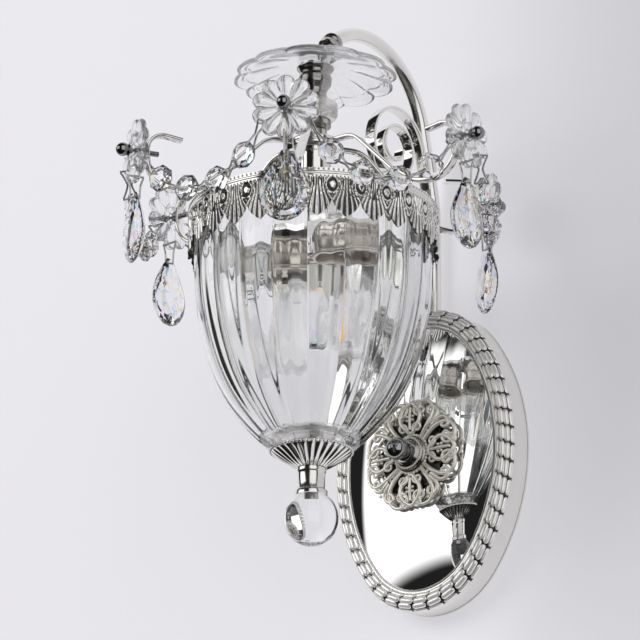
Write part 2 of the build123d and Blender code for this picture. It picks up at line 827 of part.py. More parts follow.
# Fluted bell: lobed sections lofted from the lip to the flat bottom, hollowed by a smooth bore
with BuildPart() as glass_bell:
    for height, crest in bell_sections:
        valley_radius = crest * (1 - flute_depth_ratio)
        step = radians(360 / flute_count)
        with BuildSketch(axis_plane(height)):
            with BuildLine():
                for index in range(flute_count):
                    start_angle = index * step
                    ThreePointArc(
                        (valley_radius * sin(start_angle), -valley_radius * cos(start_angle)),
                        (
                            crest * sin(start_angle + step / 2),
                            -crest * cos(start_angle + step / 2),
                        ),
                        (
                            valley_radius * sin(start_angle + step),
                            -valley_radius * cos(start_angle + step),
                        ),
                    )
            make_face()
    loft()
    with BuildSketch(axis_plane(shelf_top + seat_gap)):
        Circle(lip_radius)
    extrude(amount=bell_lip_height)
    with BuildSketch(radial_plane(0)):
        with BuildLine():
            wall_points = [
                (crest - bell_wall, height)
                for height, crest in bell_sections
                if height > bell_bottom + bell_floor
            ]
            wall_points.append((bell_bottom_radius - bell_wall, bell_bottom + bell_floor))
            Polyline(
                (0, bell_bottom + bell_floor),
                (0, shelf_top + 2 * bell_lip_height),
                (wall_points[0][0], shelf_top + 2 * bell_lip_height),
                wall_points[0],
            )
            for first, middle, last in zip(wall_points[::2], wall_points[1::2], wall_points[2::2]):
                ThreePointArc(first, middle, last)
            Line(wall_points[-1], (0, bell_bottom + bell_floor))
        make_face()
    revolve(axis=bell_axis, mode=Mode.SUBTRACT)
    with BuildSketch(axis_plane(bell_bottom)):
        Circle(bell_hole_radius)
    extrude(amount=2 * bell_floor, mode=Mode.SUBTRACT)
save(glass_bell.part, "glass_bell")

# Finial: cup, barrel neck, glass ball, and the stud with its nut inside the bell
with BuildPart() as finial_cup:
    with BuildSketch(radial_plane(0)):
        with BuildLine():
            Polyline(
                (finial_stud_radius + turning_clearance, finial_cup_bottom),
                (finial_neck_radius, finial_cup_bottom),
            )
            ThreePointArc(
                (finial_neck_radius, finial_cup_bottom),
                (
                    finial_cup_side_ratio * finial_cup_radius,
                    finial_cup_bottom + finial_cup_side_height_ratio * finial_cup_height,
                ),
                (finial_cup_radius, finial_cup_top - finial_cup_rim),
            )
            Polyline(
                (finial_cup_radius, finial_cup_top - finial_cup_rim),
                (finial_cup_radius, finial_cup_top),
                (finial_stud_radius + turning_clearance, finial_cup_top),
                (finial_stud_radius + turning_clearance, finial_cup_bottom),
            )
        make_face()
    revolve(axis=bell_axis)
save(finial_cup.part, "finial_cup")

with BuildPart() as finial_neck:
    seat_height = ball_height + ((ball_radius + seat_gap) ** 2 - finial_ring_radius**2) ** 0.5
    with BuildSketch(axis_plane(seat_height)):
        Circle(finial_waist_ratio * finial_neck_radius)
    extrude(amount=finial_neck_top - seat_height)
    with BuildSketch(axis_plane(seat_height)):
        Circle(finial_ring_radius)
    extrude(amount=finial_ring_height)
    with BuildSketch(axis_plane(finial_neck_top - finial_collar_height)):
        Circle(finial_neck_radius)
    extrude(amount=finial_collar_height)
    with Locations((0, -axis_out, ball_height)):
        Sphere(ball_radius + seat_gap, mode=Mode.SUBTRACT)
    with BuildSketch(axis_plane(ball_height)):
        Circle(finial_stud_radius)
    extrude(amount=2 * ball_radius, mode=Mode.SUBTRACT)
save(finial_neck.part, "finial_neck")

with BuildPart() as finial_ball:
    with Locations((0, -axis_out, ball_height)):
        Sphere(ball_radius)
    with BuildSketch(axis_plane(ball_top - stud_depth_in_ball)):
        Circle(finial_stud_radius)
    extrude(amount=2 * stud_depth_in_ball, mode=Mode.SUBTRACT)
save(finial_ball.part, "finial_ball")

with BuildPart() as finial_stud:
    stud_top = finial_nut_bottom + finial_nut_height + finial_stud_proud
    with BuildSketch(axis_plane(ball_top - stud_depth_in_ball)):
        Circle(finial_stud_radius)
    extrude(amount=stud_top - ball_top + stud_depth_in_ball)
    chamfer(finial_stud.edges().sort_by(Axis.Z)[-1], finial_stud_chamfer)
save(finial_stud.part, "finial_stud")

with BuildPart() as finial_nut:
    with BuildSketch(axis_plane(finial_nut_bottom)):
        Circle(finial_washer_ratio * finial_nut_radius)
    extrude(amount=finial_washer_height)
    with BuildSketch(axis_plane(finial_nut_bottom)):
        RegularPolygon(finial_nut_radius, 6)
    extrude(amount=finial_nut_height)
    with BuildSketch(axis_plane(finial_nut_bottom)):
        Circle(finial_stud_radius + turning_clearance)
    extrude(amount=finial_nut_height, mode=Mode.SUBTRACT)
save(finial_nut.part, "finial_nut")

# Bar under the column that carries the two lamp sockets
with BuildPart() as lamp_bar:
    with BuildSketch(axis_plane(lamp_bar_bottom)):
        SlotCenterToCenter(lamp_spacing, 2 * lamp_bar_end_radius)
        Circle(column_radius + lamp_bar_boss_margin)
    extrude(amount=lamp_bar_thickness)
save(lamp_bar.part, "lamp_bar")


def lamp(number, side):
    """One socket and its filament bulb, hanging from the lamp bar."""
    plane = lamp_plane(side)
    axis = lamp_axis(side)
    place = Plane(origin=(side * lamp_spacing / 2, -axis_out, 0))
    with BuildPart() as socket:
        with BuildSketch(plane):
            with BuildLine():
                Polyline((0, socket_top - socket_wall), (0, socket_top), (socket_top_radius, socket_top))
                ThreePointArc(
                    (socket_top_radius, socket_top),
                    (dome_radius, dome_height),
                    (socket_radius, socket_top - socket_shoulder),
                )
                Polyline(
                    (socket_radius, socket_top - socket_shoulder),
                    (socket_radius, socket_bottom),
                    (socket_radius - socket_wall, socket_bottom),
                    (socket_radius - socket_wall, socket_top - socket_shoulder),
                )
                ThreePointArc(
                    (socket_radius - socket_wall, socket_top - socket_shoulder),
                    (
                        dome_radius - socket_dome_inset_ratio * socket_wall,
                        dome_height - socket_dome_inset_ratio * socket_wall,
                    ),
                    (socket_top_radius, socket_top - socket_wall),
                )
                Line((socket_top_radius, socket_top - socket_wall), (0, socket_top - socket_wall))
            make_face()
        revolve(axis=axis)
        with BuildSketch(place.offset(socket_bottom + socket_sleeve_inset)):
            Circle(socket_sleeve_radius)
            Circle(base_radius + turning_clearance, mode=Mode.SUBTRACT)
        extrude(amount=socket_height - socket_sleeve_inset - socket_wall)
    save(socket.part, f"lamp_socket_{number}")

    with BuildPart() as base:
        with BuildSketch(place.offset(base_bottom)):
            Circle(base_radius)
        extrude(amount=base_length)
        chamfer(base.edges().sort_by(Axis.Z)[-1], base_chamfer)
    save(base.part, f"bulb_base_{number}")

    with BuildPart() as bulb:
        middle = base_bottom - bulb_middle_ratio * bulb_length
        neck = base_radius - bulb_neck_inset
        with BuildSketch(plane):
            with BuildLine():
                Spline(
                    (neck, base_bottom - seat_gap),
                    (bulb_radius, middle),
                    (0, bulb_bottom),
                    tangents=((bulb_neck_flare, -1), (-1, 0)),
                )
                Polyline((0, bulb_bottom), (0, base_bottom - seat_gap), (neck, base_bottom - seat_gap))
            make_face()
        revolve(axis=axis)
        with BuildSketch(plane):
            with BuildLine():
                Spline(
                    (neck - bulb_wall, base_bottom),
                    (bulb_radius - bulb_wall, middle),
                    (0, bulb_bottom + bulb_wall),
                    tangents=((bulb_neck_flare, -1), (-1, 0)),
                )
                Polyline((0, bulb_bottom + bulb_wall), (0, base_bottom), (neck - bulb_wall, base_bottom))
            make_face()
        revolve(axis=axis, mode=Mode.SUBTRACT)
    save(bulb.part, f"bulb_glass_{number}")

    with BuildPart() as filament:
        with BuildSketch(place.offset(base_bottom)):
            Circle(filament_stem_radius)
        extrude(amount=-filament_stem_length)
        with BuildSketch(place.offset(base_bottom - filament_stem_length)):
            Circle(filament_plate_radius)
        extrude(amount=-filament_plate_height)
        with BuildSketch(place.offset(base_bottom - filament_stem_length)):
            with PolarLocations(filament_circle, filament_count, start_angle=45):
                Circle(filament_radius)
        extrude(amount=-filament_length)
    save(filament.part, f"bulb_filament_{number}")


lamp(1, -1)
lamp(2, 1)

# Crystal flowers: petals that taper to both faces, drilled for the pin, the drop and the swags
with BuildPart() as crystal_rosettes:
    for angle in arm_angles:
        for half in (-flower_thickness / 2, flower_thickness / 2):
            with BuildSketch(facing_plane(angle, flower_middle, station_height)):
                Circle(petal_circle)
                with PolarLocations(petal_circle, petal_count, start_angle=90):
                    Circle(petal_radius)
            with BuildSketch(facing_plane(angle, flower_middle + half, station_height)):
                Circle(petal_face_ratio * petal_circle)
                with PolarLocations(petal_face_ratio * petal_circle, petal_count, start_angle=90):
                    Circle(petal_face_ratio * petal_radius)
            loft(ruled=True)
    for angle in arm_angles:
        with BuildSketch(facing_plane(angle, flower_middle, station_height)):
            Circle(pin_radius + seat_gap)
            with Locations((0, -drop_petal_offset)):
                Circle(wire_hole_radius + seat_gap)
            with Locations(
                (-swag_side_offset, -swag_drop_offset), (swag_side_offset, -swag_drop_offset)
            ):
                Circle(swag_petal_hole_radius)
    extrude(amount=flower_thickness, both=True, mode=Mode.SUBTRACT)
save(crystal_rosettes.part, "crystal_rosettes")

# Pins with a collar behind the flower and a ball head in front of it
with BuildPart() as rosette_pins:
    for angle in arm_angles:
        with BuildSketch(facing_plane(angle, strap_face_out + seat_gap, station_height)):
            Circle(pin_radius)
    extrude(amount=pin_head_out - strap_face_out - seat_gap)
    for angle in arm_angles:
        with BuildSketch(facing_plane(angle, strap_face_out + seat_gap, station_height)):
            Circle(pin_collar_radius)
    extrude(amount=flower_inner - strap_face_out - 2 * seat_gap)
    for angle in arm_angles:
        with Locations(facing_plane(angle, pin_head_out, station_height)):
            Sphere(pin_head_radius)
save(rosette_pins.part, "rosette_pins")


def wire_loop(first, second, across, half_depth):
    """A closed wire loop: a rounded rectangle that passes through two holes."""
    length = (second - first).length
    along = (second - first).normalized()
    middle = (first + second) * 0.5
    loop_plane = Plane(origin=middle, x_dir=along, z_dir=along.cross(across))
    with BuildPart() as loop:
        with BuildLine(loop_plane) as loop_path:
            FilletPolyline(
                (length / 2, half_depth),
                (length / 2, -half_depth),
                (-length / 2, -half_depth),
                (-length / 2, half_depth),
                radius=loop_corner,
                close=True,
            )
        with BuildSketch(Plane(origin=loop_path.wire() @ 0, z_dir=loop_path.wire() % 0)):
            Circle(wire_radius)
        sweep(path=loop_path.wire())
    return loop.part


def station_point(angle, side, out, height):
    """A point near a crystal station: side along the flower's face, out from the bell's axis."""
    turn = radians(angle)
    return Vector(
        out * sin(turn) + side * cos(turn), -axis_out - out * cos(turn) + side * sin(turn), height
    )


# Wire loops that carry the drops
drop_loops = []
for angle in arm_angles:
    outward = Vector(sin(radians(angle)), -cos(radians(angle)), 0)
    drop_loops.append(
        wire_loop(
            station_point(angle, 0, flower_middle, station_height - drop_petal_offset),
            station_point(angle, 0, flower_middle, drop_pivot_height),
            outward,
            drop_girdle / 2 + drop_crown_height + loop_corner + loop_side_gap,
        )
    )


def crystal_drop(number, angle):
    """An almond drop: a thin girdle with a tapered crown on both faces, drilled at its top."""
    outline = tuple(
        (across * drop_half_width, drop_top_margin - down * drop_length)
        for across, down in drop_outline
    )
    mirrored = tuple((-x, y) for x, y in reversed(outline))
    with BuildPart() as drop:
        for turned in (False, True):
            face = facing_plane(angle, flower_middle, drop_pivot_height)
            half = face.offset(-drop_girdle / 2 if turned else drop_girdle / 2)
            with BuildSketch(half):
                Polygon(*outline, *mirrored, align=None)
            extrude(
                amount=-drop_crown_height if turned else drop_crown_height, taper=drop_crown_taper
            )
        with BuildSketch(facing_plane(angle, flower_middle, drop_pivot_height)):
            Polygon(*outline, *mirrored, align=None)
        extrude(amount=drop_girdle / 2, both=True)
        with BuildSketch(facing_plane(angle, flower_middle, drop_pivot_height)):
            Circle(wire_hole_radius)
        extrude(amount=2 * drop_crown_height, both=True, mode=Mode.SUBTRACT)
    save(drop.part, f"crystal_drop_{number}")


for number, angle in enumerate(arm_angles, 1):
    crystal_drop(number, angle)


def swag_plane(middle_angle):
    """The upright plane in which one swag hangs: local X along the chord, local Y up."""
    return facing_plane(middle_angle, swag_plane_out, swag_end_height)


def chain_points():
    """Bead centres and tilts along half a swag, from its left end to the middle."""
    first = (
        -swag_half_span + bead_pitch * cos(steep),
        -bead_pitch * sin(steep),
    )
    second = (
        first[0] + bead_pitch * cos(shallow),
        first[1] - bead_pitch * sin(shallow),
    )
    tilt_first = -(swag_angles[0] + swag_angles[1]) / 2
    tilt_second = -swag_angles[1] / 2
    return (
        (first, tilt_first),
        (second, tilt_second),
        ((-second[0], second[1]), -tilt_second),
        ((-first[0], first[1]), -tilt_first),
    )


def bead_holes(bead):
    """The two hole centres of a bead in its swag's plane, left one first."""
    (x, y), tilt = bead
    shift_x = bead_hole_offset * cos(radians(tilt))
    shift_y = bead_hole_offset * sin(radians(tilt))
    return (x - shift_x, y - shift_y), (x + shift_x, y + shift_y)


bead_half_depth = bead_girdle / 2 + bead_crown_height
end_loops = []


def swag(number, left_angle):
    """Four octagon beads and the wire loops between them, hung between two stations."""
    plane = swag_plane(left_angle + half_step)
    outward = plane.z_dir
    beads = chain_points()
    with BuildPart() as bead_row:
        for turned in (False, True):
            for (x, y), tilt in beads:
                offset = -bead_girdle / 2 if turned else bead_girdle / 2
                with BuildSketch(plane.offset(offset)):
                    with Locations(Location((x, y, 0), (0, 0, tilt))):
                        RegularPolygon(bead_width / 2, bead_sides, False, rotation=180 / bead_sides)
            extrude(
                amount=-bead_crown_height if turned else bead_crown_height, taper=bead_crown_taper
            )
        for (x, y), tilt in beads:
            with BuildSketch(plane):
                with Locations(Location((x, y, 0), (0, 0, tilt))):
                    RegularPolygon(bead_width / 2, bead_sides, False, rotation=180 / bead_sides)
        extrude(amount=bead_girdle / 2, both=True)
        for bead in beads:
            with BuildSketch(plane):
                with Locations(*bead_holes(bead)):
                    Circle(bead_hole_radius)
        extrude(amount=2 * bead_half_depth, both=True, mode=Mode.SUBTRACT)
        with BuildSketch(plane):
            with Locations(bead_holes(beads[0])[0], bead_holes(beads[-1])[1]):
                Circle(bead_end_hole_radius)
        extrude(amount=2 * bead_half_depth, both=True, mode=Mode.SUBTRACT)
    save(bead_row.part, f"swag_beads_{number}")

    loops = []
    for left, right in zip(beads, beads[1:]):
        loops.append(
            wire_loop(
                plane.from_local_coords(Vector(*bead_holes(left)[1])),
                plane.from_local_coords(Vector(*bead_holes(right)[0])),
                outward,
                bead_half_depth + loop_corner + loop_side_gap,
            )
        )
    save(Compound(children=loops), f"swag_links_{number}")

    for side, bead, hole in ((1, beads[0], 0), (-1, beads[-1], 1)):
        station = left_angle if side > 0 else left_angle + 2 * half_step
        petal = station_point(station, side * swag_side_offset, flower_middle, swag_end_height)
        turn = radians(station + side * end_loop_skew)
        end_loops.append(
            wire_loop(
                petal,
                plane.from_local_coords(Vector(*bead_holes(bead)[hole])),
                Vector(sin(turn), -cos(turn), 0),
                flower_thickness / 2 + wire_radius + end_loop_gap,
            )
        )


for number, left_angle in enumerate(arm_angles[:-1], 1):
    swag(number, left_angle)
save(Compound(children=drop_loops + end_loops), "wire_loops")
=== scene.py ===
# %% [markdown]
# A crystal wall sconce, dressed piece by piece.
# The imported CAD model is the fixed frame: every shape below ends up in metres in that frame.
# The wall is the plane Y = 0, the lamp stands out along -Y, and Z is up.

# %% Load the frame
import json
from math import atan2, copysign, cos, exp, hypot, pi, radians, sin, sqrt, tan
from random import Random

import bmesh
import bpy
from mathutils import Matrix, Vector


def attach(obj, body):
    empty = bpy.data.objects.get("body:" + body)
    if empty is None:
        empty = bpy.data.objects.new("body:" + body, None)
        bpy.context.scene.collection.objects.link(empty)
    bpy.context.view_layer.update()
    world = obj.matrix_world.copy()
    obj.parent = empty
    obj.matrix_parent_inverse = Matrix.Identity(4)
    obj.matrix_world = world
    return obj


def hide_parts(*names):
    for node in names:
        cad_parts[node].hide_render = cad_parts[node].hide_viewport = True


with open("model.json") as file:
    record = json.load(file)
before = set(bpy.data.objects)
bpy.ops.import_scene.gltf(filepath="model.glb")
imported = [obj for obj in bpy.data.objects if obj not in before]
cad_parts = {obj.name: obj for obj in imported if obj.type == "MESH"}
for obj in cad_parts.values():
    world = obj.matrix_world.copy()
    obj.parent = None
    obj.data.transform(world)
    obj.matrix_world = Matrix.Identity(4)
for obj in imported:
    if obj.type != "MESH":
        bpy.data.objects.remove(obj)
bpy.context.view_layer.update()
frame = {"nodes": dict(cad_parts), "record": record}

# %% [markdown]
# The photograph was taken from low on the right with a long lens.
# A camera is a place, three directions and a lens, so the fitted values go in as they are.

# %% Camera
CAMERA_AZIMUTH, CAMERA_ELEVATION, CAMERA_ROLL = radians(38.43), radians(-19.38), radians(0.51)
CAMERA_PLACE = Vector((1.2767, -1.71887, -0.66672))
SENSOR_WIDTH, LENS_PER_SENSOR = 36, 4000 / 640


def in_scene(name, data):
    """A new object with this data, linked to the scene."""
    item = bpy.data.objects.new(name, data)
    bpy.context.scene.collection.objects.link(item)
    return item


def directions(azimuth, elevation):
    """Three square directions: out from the object at two angles, to the right, and up."""
    out = Vector((sin(azimuth) * cos(elevation), -cos(azimuth) * cos(elevation), sin(elevation)))
    right = Vector((cos(azimuth), sin(azimuth), 0))
    return out, right, out.cross(right)


back, right, up = directions(CAMERA_AZIMUTH, CAMERA_ELEVATION)
rolled_right = right * cos(CAMERA_ROLL) + up * sin(CAMERA_ROLL)
rolled_up = up * cos(CAMERA_ROLL) - right * sin(CAMERA_ROLL)
camera_data = bpy.data.cameras.new("camera")
camera_data.sensor_width = SENSOR_WIDTH
camera_data.lens = LENS_PER_SENSOR * SENSOR_WIDTH
camera_data.clip_end = 20
camera = in_scene("camera", camera_data)
camera_turn = Matrix((rolled_right, rolled_up, back)).transposed()
camera.matrix_world = Matrix.Translation(CAMERA_PLACE) @ camera_turn.to_4x4()
bpy.context.scene.camera = camera
bpy.context.scene.view_settings.view_transform = "Standard"
print("camera", round(CAMERA_PLACE.length, 2), "m away, lens", camera_data.lens)

# %% [markdown]
# Shader maths reads best as arithmetic.
# A Signal holds one output socket of a node tree, and an operator on it adds a Math node.
# Every other node comes from add_node, which sets the node's settings first and then its sockets.

# %% Signals


def add_node(tree, kind, sockets=None, out=0, **settings):
    """Adds a node, sets it up, fills or links its sockets and returns one output as a Signal."""
    node = tree.nodes.new(kind)
    for name, value in settings.items():
        setattr(node, name, value)
    for name, value in (sockets or {}).items():
        if isinstance(value, Signal):
            tree.links.new(value.socket, node.inputs[name])
        else:
            node.inputs[name].default_value = value
    return Signal(tree, node.outputs[out]) if node.outputs else None


class Signal:
    """One output socket; plus, minus, times and divide add Math nodes."""

    def __init__(self, tree, socket):
        self.tree = tree
        self.socket = socket

    def math(self, operation, *values):
        return add_node(self.tree, "ShaderNodeMath", dict(enumerate(values)), operation=operation)

    def __add__(self, other):
        return self.math("ADD", self, other)

    def __rsub__(self, other):
        return self.math("SUBTRACT", other, self)

    def __mul__(self, other):
        return self.math("MULTIPLY", self, other)

    def __truediv__(self, other):
        return self.math("DIVIDE", self, other)

    def above(self, limit, soft):
        """0 below the limit, 1 above it, with a soft step."""
        sockets = {"Value": self, "From Min": limit - soft, "From Max": limit + soft}
        return add_node(self.tree, "ShaderNodeMapRange", sockets, interpolation_type="SMOOTHSTEP")


def mix_colour(factor, first, second):
    """A colour between two colours of red, green and blue."""
    sockets = {0: factor, 6: (*first, 1), 7: (*second, 1)}
    return add_node(factor.tree, "ShaderNodeMix", sockets, 2, data_type="RGBA")


def new_material(name):
    """An empty material and its node tree."""
    material = bpy.data.materials.new(name)
    material.use_nodes = True
    material.node_tree.nodes.clear()
    return material, material.node_tree


def finish_material(tree, shader):
    add_node(tree, "ShaderNodeOutputMaterial", {"Surface": shader})


def principled(tree, sockets):
    return add_node(tree, "ShaderNodeBsdfPrincipled", sockets)


def noise(tree, scale, detail):
    """Noise on the piece's own Object coordinates, from 0 to 1."""
    place = add_node(tree, "ShaderNodeTexCoord", out=3)
    return add_node(tree, "ShaderNodeTexNoise", {"Vector": place, "Scale": scale, "Detail": detail})


def bump(tree, height, distance):
    """A Bump node's normal from a height in metres."""
    return add_node(tree, "ShaderNodeBump", {"Height": height, "Distance": distance})


# %% [markdown]
# Polished plate: bright where it is rubbed, a little darker and duller in patches.
# Recesses and gaps of the castings get a near-black metal: a painted shade for the shade that falls in
# them.
# A shine under 1 keeps the paler silvers from going dark in a dark studio.

# %% Metals
PATCH_SCALE = 60.0
BRIGHT, SHADED = (0.90, 0.89, 0.86), (0.84, 0.83, 0.79)


def metal(name, light, dark, polish, haze, shine=1.0, ripple=0.0):
    """A plated metal: two tones in soft patches, a roughness range, its shine and a faint ripple."""
    material, tree = new_material(name)
    patches = noise(tree, PATCH_SCALE, 3.0)
    sockets = {
        "Base Color": mix_colour(patches, light, dark),
        "Roughness": patches * (haze - polish) + polish,
        "Metallic": shine,
    }
    if ripple:
        sockets["Normal"] = bump(tree, noise(tree, 4 * PATCH_SCALE, 2.0), ripple)
    finish_material(tree, principled(tree, sockets))
    return material


nickel = metal("polished_nickel", BRIGHT, (0.82, 0.81, 0.77), 0.04, 0.12)
soft_nickel = metal("soft_nickel", BRIGHT, SHADED, 0.12, 0.2)
dark_nickel = metal("dark_nickel", (0.55, 0.53, 0.50), (0.30, 0.29, 0.28), 0.08, 0.2)
# Near-black metal: painted shade for recesses and gaps.
painted_shade_metal = metal("painted_recess_shade", (0.10, 0.10, 0.095), (0.05, 0.05, 0.05), 0.3, 0.5)
pale_silver = metal("pale_silver", (0.98, 0.96, 0.88), (0.90, 0.87, 0.77), 0.12, 0.22, 0.62)
rope_silver = metal("rope_silver", (0.96, 0.95, 0.92), (0.90, 0.89, 0.85), 0.12, 0.22, 0.55)
rim_silver = metal("rim_silver", BRIGHT, SHADED, 0.28, 0.36, 0.85)
mirror = metal("mirror_plate", (0.93, 0.93, 0.92), (0.90, 0.90, 0.89), 0.008, 0.02)
steel = metal("plated_steel", (0.62, 0.62, 0.60), (0.48, 0.48, 0.47), 0.25, 0.42, 1.0, 0.00002)
wire_metal = metal("link_wire", (0.74, 0.73, 0.71), (0.52, 0.51, 0.50), 0.05, 0.12, 0.85)
pin_metal = metal("pin_metal", (0.40, 0.40, 0.40), (0.22, 0.22, 0.22), 0.02, 0.06)
cap_metal = metal("lamp_cap", (0.75, 0.74, 0.72), (0.6, 0.6, 0.58), 0.15, 0.3)
socket_shell = metal("socket_shell", (0.86, 0.82, 0.75), (0.76, 0.71, 0.63), 0.16, 0.26, 0.8)

# Painted shade: the tone attribute runs from near black in grooves and valleys to bright on the raised
# metal.
painted_shade_relief, tree = new_material("painted_shade_relief")
tone = add_node(tree, "ShaderNodeAttribute", out="Fac", attribute_name="tone").above(0.4, 0.35)
finish_material(tree, principled(tree, {
    "Base Color": mix_colour(tone, (0.07, 0.07, 0.07), (0.93, 0.92, 0.88)),
    "Roughness": 0.34 - tone * 0.24,
    "Metallic": 1.0,
}))
print("metals", len(bpy.data.materials))

# %% [markdown]
# Glass here is clear to the eye and only faintly tinted where it is thick.
# The bell has slow ripples from pressing, and cut crystal takes the colour of each facet.

# %% Glass
BELL_TINT = (0.975, 0.985, 0.98)


def clear_glass(name, tint, index, ripple=0.0, scale=40.0, facets=False, plain=0.0, frost=0.0):
    """Tinted glass with a slow ripple: a plain share lets light straight through, frost dulls it."""
    material, tree = new_material(name)
    grain = noise(tree, scale, 1.0)
    tone = mix_colour(grain, tint, (1, 1, 1))
    if facets:
        flash = add_node(tree, "ShaderNodeAttribute", attribute_name="flash")
        both = {0: 1.0, 6: tone, 7: flash}
        tone = add_node(tree, "ShaderNodeMix", both, 2, data_type="RGBA", blend_type="MULTIPLY")
    sockets = {"Base Color": tone, "Roughness": frost, "IOR": index, "Transmission Weight": 1.0}
    if ripple:
        sockets["Normal"] = bump(tree, grain, ripple)
    shader = principled(tree, sockets)
    if plain:
        straight = add_node(tree, "ShaderNodeBsdfTransparent")
        shader = add_node(tree, "ShaderNodeMixShader", {0: plain, 1: shader, 2: straight})
    finish_material(tree, shader)
    return material


pressed_glass = clear_glass("pressed_glass", (0.97, 0.98, 0.985), 1.5, 0.0001, plain=0.1)
bell_glass = clear_glass("bell_glass", BELL_TINT, 1.5, 0.0002, 30.0)
floor_glass = clear_glass("floor_glass", BELL_TINT, 1.5, 0.0002, 30.0, plain=0.5)
ball_glass = clear_glass("ball_glass", (0.985, 0.99, 0.99), 1.5)
bulb_glass = clear_glass("bulb_glass", (0.98, 0.98, 0.97), 1.4, plain=0.8)
flower_glass = clear_glass("flower_glass", (0.96, 0.97, 0.98), 1.52, plain=0.15)
barrel_glass = clear_glass("barrel_glass", (0.93, 0.89, 0.80), 1.4, scale=90.0, plain=0.2, frost=0.25)
crystal = clear_glass("cut_crystal", (0.97, 0.98, 1.0), 1.58, facets=True)

amber, tree = new_material("filament")
mottle = noise(tree, 150.0, 3.0)
warm = mix_colour(mottle, (0.93, 0.50, 0.10), (0.92, 0.60, 0.20))
finish_material(tree, principled(tree, {
    "Base Color": warm,
    "Roughness": mottle * 0.1 + 0.35,
    "Coat Weight": 0.3,
    "Emission Color": warm,
    "Emission Strength": 0.6,
}))
print("metals and glass", len(bpy.data.materials))

# %% [markdown]
# The nodes that no piece below stands for, such as the bulbs, keep their CAD shape in these finishes.

# %% Dress the CAD nodes
slot_material = {
    "polished_nickel": nickel,
    "plated_steel": steel,
    "mirror_plate": mirror,
    "cut_crystal": crystal,
    "clear_glass": bulb_glass,
    "ivory_sleeve": barrel_glass,
    "lamp_cap": cap_metal,
    "filament": amber,
}
for row in frame["record"]["subparts"]:
    finishes = frame["nodes"][row["node"]].data.materials
    finishes.clear()
    finishes.append(slot_material[row["material_slot"]])

# %% [markdown]
# Most pieces of a lamp are turned, bent from bar, or repeated round an axis.
# These helpers make those kinds of mesh; they work in millimetres and write metres.

# %% Mesh helpers
MM = 0.001
AXIS_OUT = 116.0


def on_axis(x, y, z):
    """A point given from the bell's upright axis."""
    return Vector((x, y - AXIS_OUT, z))


def on_plate(x, y, z):
    """A point given from the plate's middle: y is up and z is the distance from the wall."""
    return Vector((x, -z, y))


def upright(path):
    """A flat path of (distance out, height) stood up square to the wall."""
    return [Vector((0, -out, z)) for out, z in path]


def along_line(origin, axis):
    """Points given about any line: z runs along it."""
    origin, axis = Vector(origin), Vector(axis).normalized()
    across = axis.orthogonal().normalized()
    square = axis.cross(across)
    return lambda x, y, z: origin + across * x + square * y + axis * z


def spun(shape, degrees):
    """A shape turned about the bell's axis."""
    turn = Matrix.Rotation(radians(degrees), 3, "Z")
    axis = Vector((0, -AXIS_OUT, 0))
    return [turn @ (p - axis) + axis for p in shape[0]], shape[1]


def stacked(rows, closed=False):
    """Skins rows of points; a row of one point is a pole."""
    points, rings, faces = [], [], []
    for row in rows:
        rings.append(list(range(len(points), len(points) + len(row))))
        points += row
    pairs = list(zip(rings, rings[1:])) + ([(rings[-1], rings[0])] if closed else [])
    for first, second in pairs:
        if len(first) == 1 or len(second) == 1:
            ring, pole = (second, first[0]) if len(first) == 1 else (first, second[0])
            faces += [(pole, ring[i - 1], ring[i]) for i in range(len(ring))]
        else:
            faces += [(first[i - 1], first[i], second[i], second[i - 1]) for i in range(len(first))]
    return points, faces


def capped(rows):
    """Skins rows of points and closes both ends."""
    points, faces = stacked(rows)
    last = len(points) - len(rows[-1])
    ends = [tuple(range(len(rows[0]))), tuple(range(last, len(points)))]
    return points, faces + ends


def eased(profile, ease, closed):
    """Cuts the corners of a profile a little, so that edges catch the light."""
    line = []
    for i, p in enumerate(profile):
        if not closed and i in (0, len(profile) - 1):
            line.append(p)
            continue
        for q in (profile[i - 1], profile[(i + 1) % len(profile)]):
            reach = hypot(q[0] - p[0], q[1] - p[1])
            share = min(ease, 0.4 * reach) / max(reach, 0.001)
            line.append((p[0] + (q[0] - p[0]) * share, p[1] + (q[1] - p[1]) * share))
    return line


def turned(profile, count=96, place=on_axis, closed=True, shape=None, ease=0.25):
    """Turns a profile of (radius, height) about an axis; shape can move a point by its angle."""
    rows = []
    for radius, height in eased(profile, ease, closed) if ease else profile:
        if radius < 0.0001:
            rows.append([place(0, 0, height)])
            continue
        row = []
        for i in range(count):
            angle = 2 * pi * i / count
            r, h = shape(radius, height, angle) if shape else (radius, height)
            row.append(place(r * sin(angle), -r * cos(angle), h))
        rows.append(row)
    return stacked(rows, closed)


def ball(radius, place, rings=8, count=10, centre=0.0):
    """A ball as a turned half circle."""
    arc = [(radius * sin(pi * i / rings), centre - radius * cos(pi * i / rings)) for i in range(1, rings)]
    return turned([(0, centre - radius)] + arc + [(0, centre + radius)], count, place, False, None, 0)


def walk(start, heading, moves, step):
    """A flat path: (length,) goes straight on and (radius, degrees) turns, left when positive."""
    x, y = start
    heading = radians(heading)
    path = [(x, y)]
    for move in moves:
        bend = radians(move[1]) if len(move) > 1 else 0.0
        length = move[0] * abs(bend) if bend else move[0]
        parts = max(1, int(length / step), int(abs(bend) / 0.09))
        for _ in range(parts):
            heading += bend / parts / 2
            x += length / parts * cos(heading)
            y += length / parts * sin(heading)
            heading += bend / parts / 2
            path.append((x, y))
    return path


def swept(path, side, section, closed=False, taper=None):
    """Carries a closed section along a path in a plane; side is square to that plane."""
    rows = []
    for i, p in enumerate(path):
        before = path[i - 1] if closed or i else p
        after = path[(i + 1) % len(path)] if closed or i < len(path) - 1 else p
        out = side.cross((after - before).normalized())
        size = taper(i / (len(path) - 1)) if taper else 1.0
        rows.append([p + side * u * size + out * v * size for u, v in section])
    return stacked(rows, True) if closed else capped(rows)


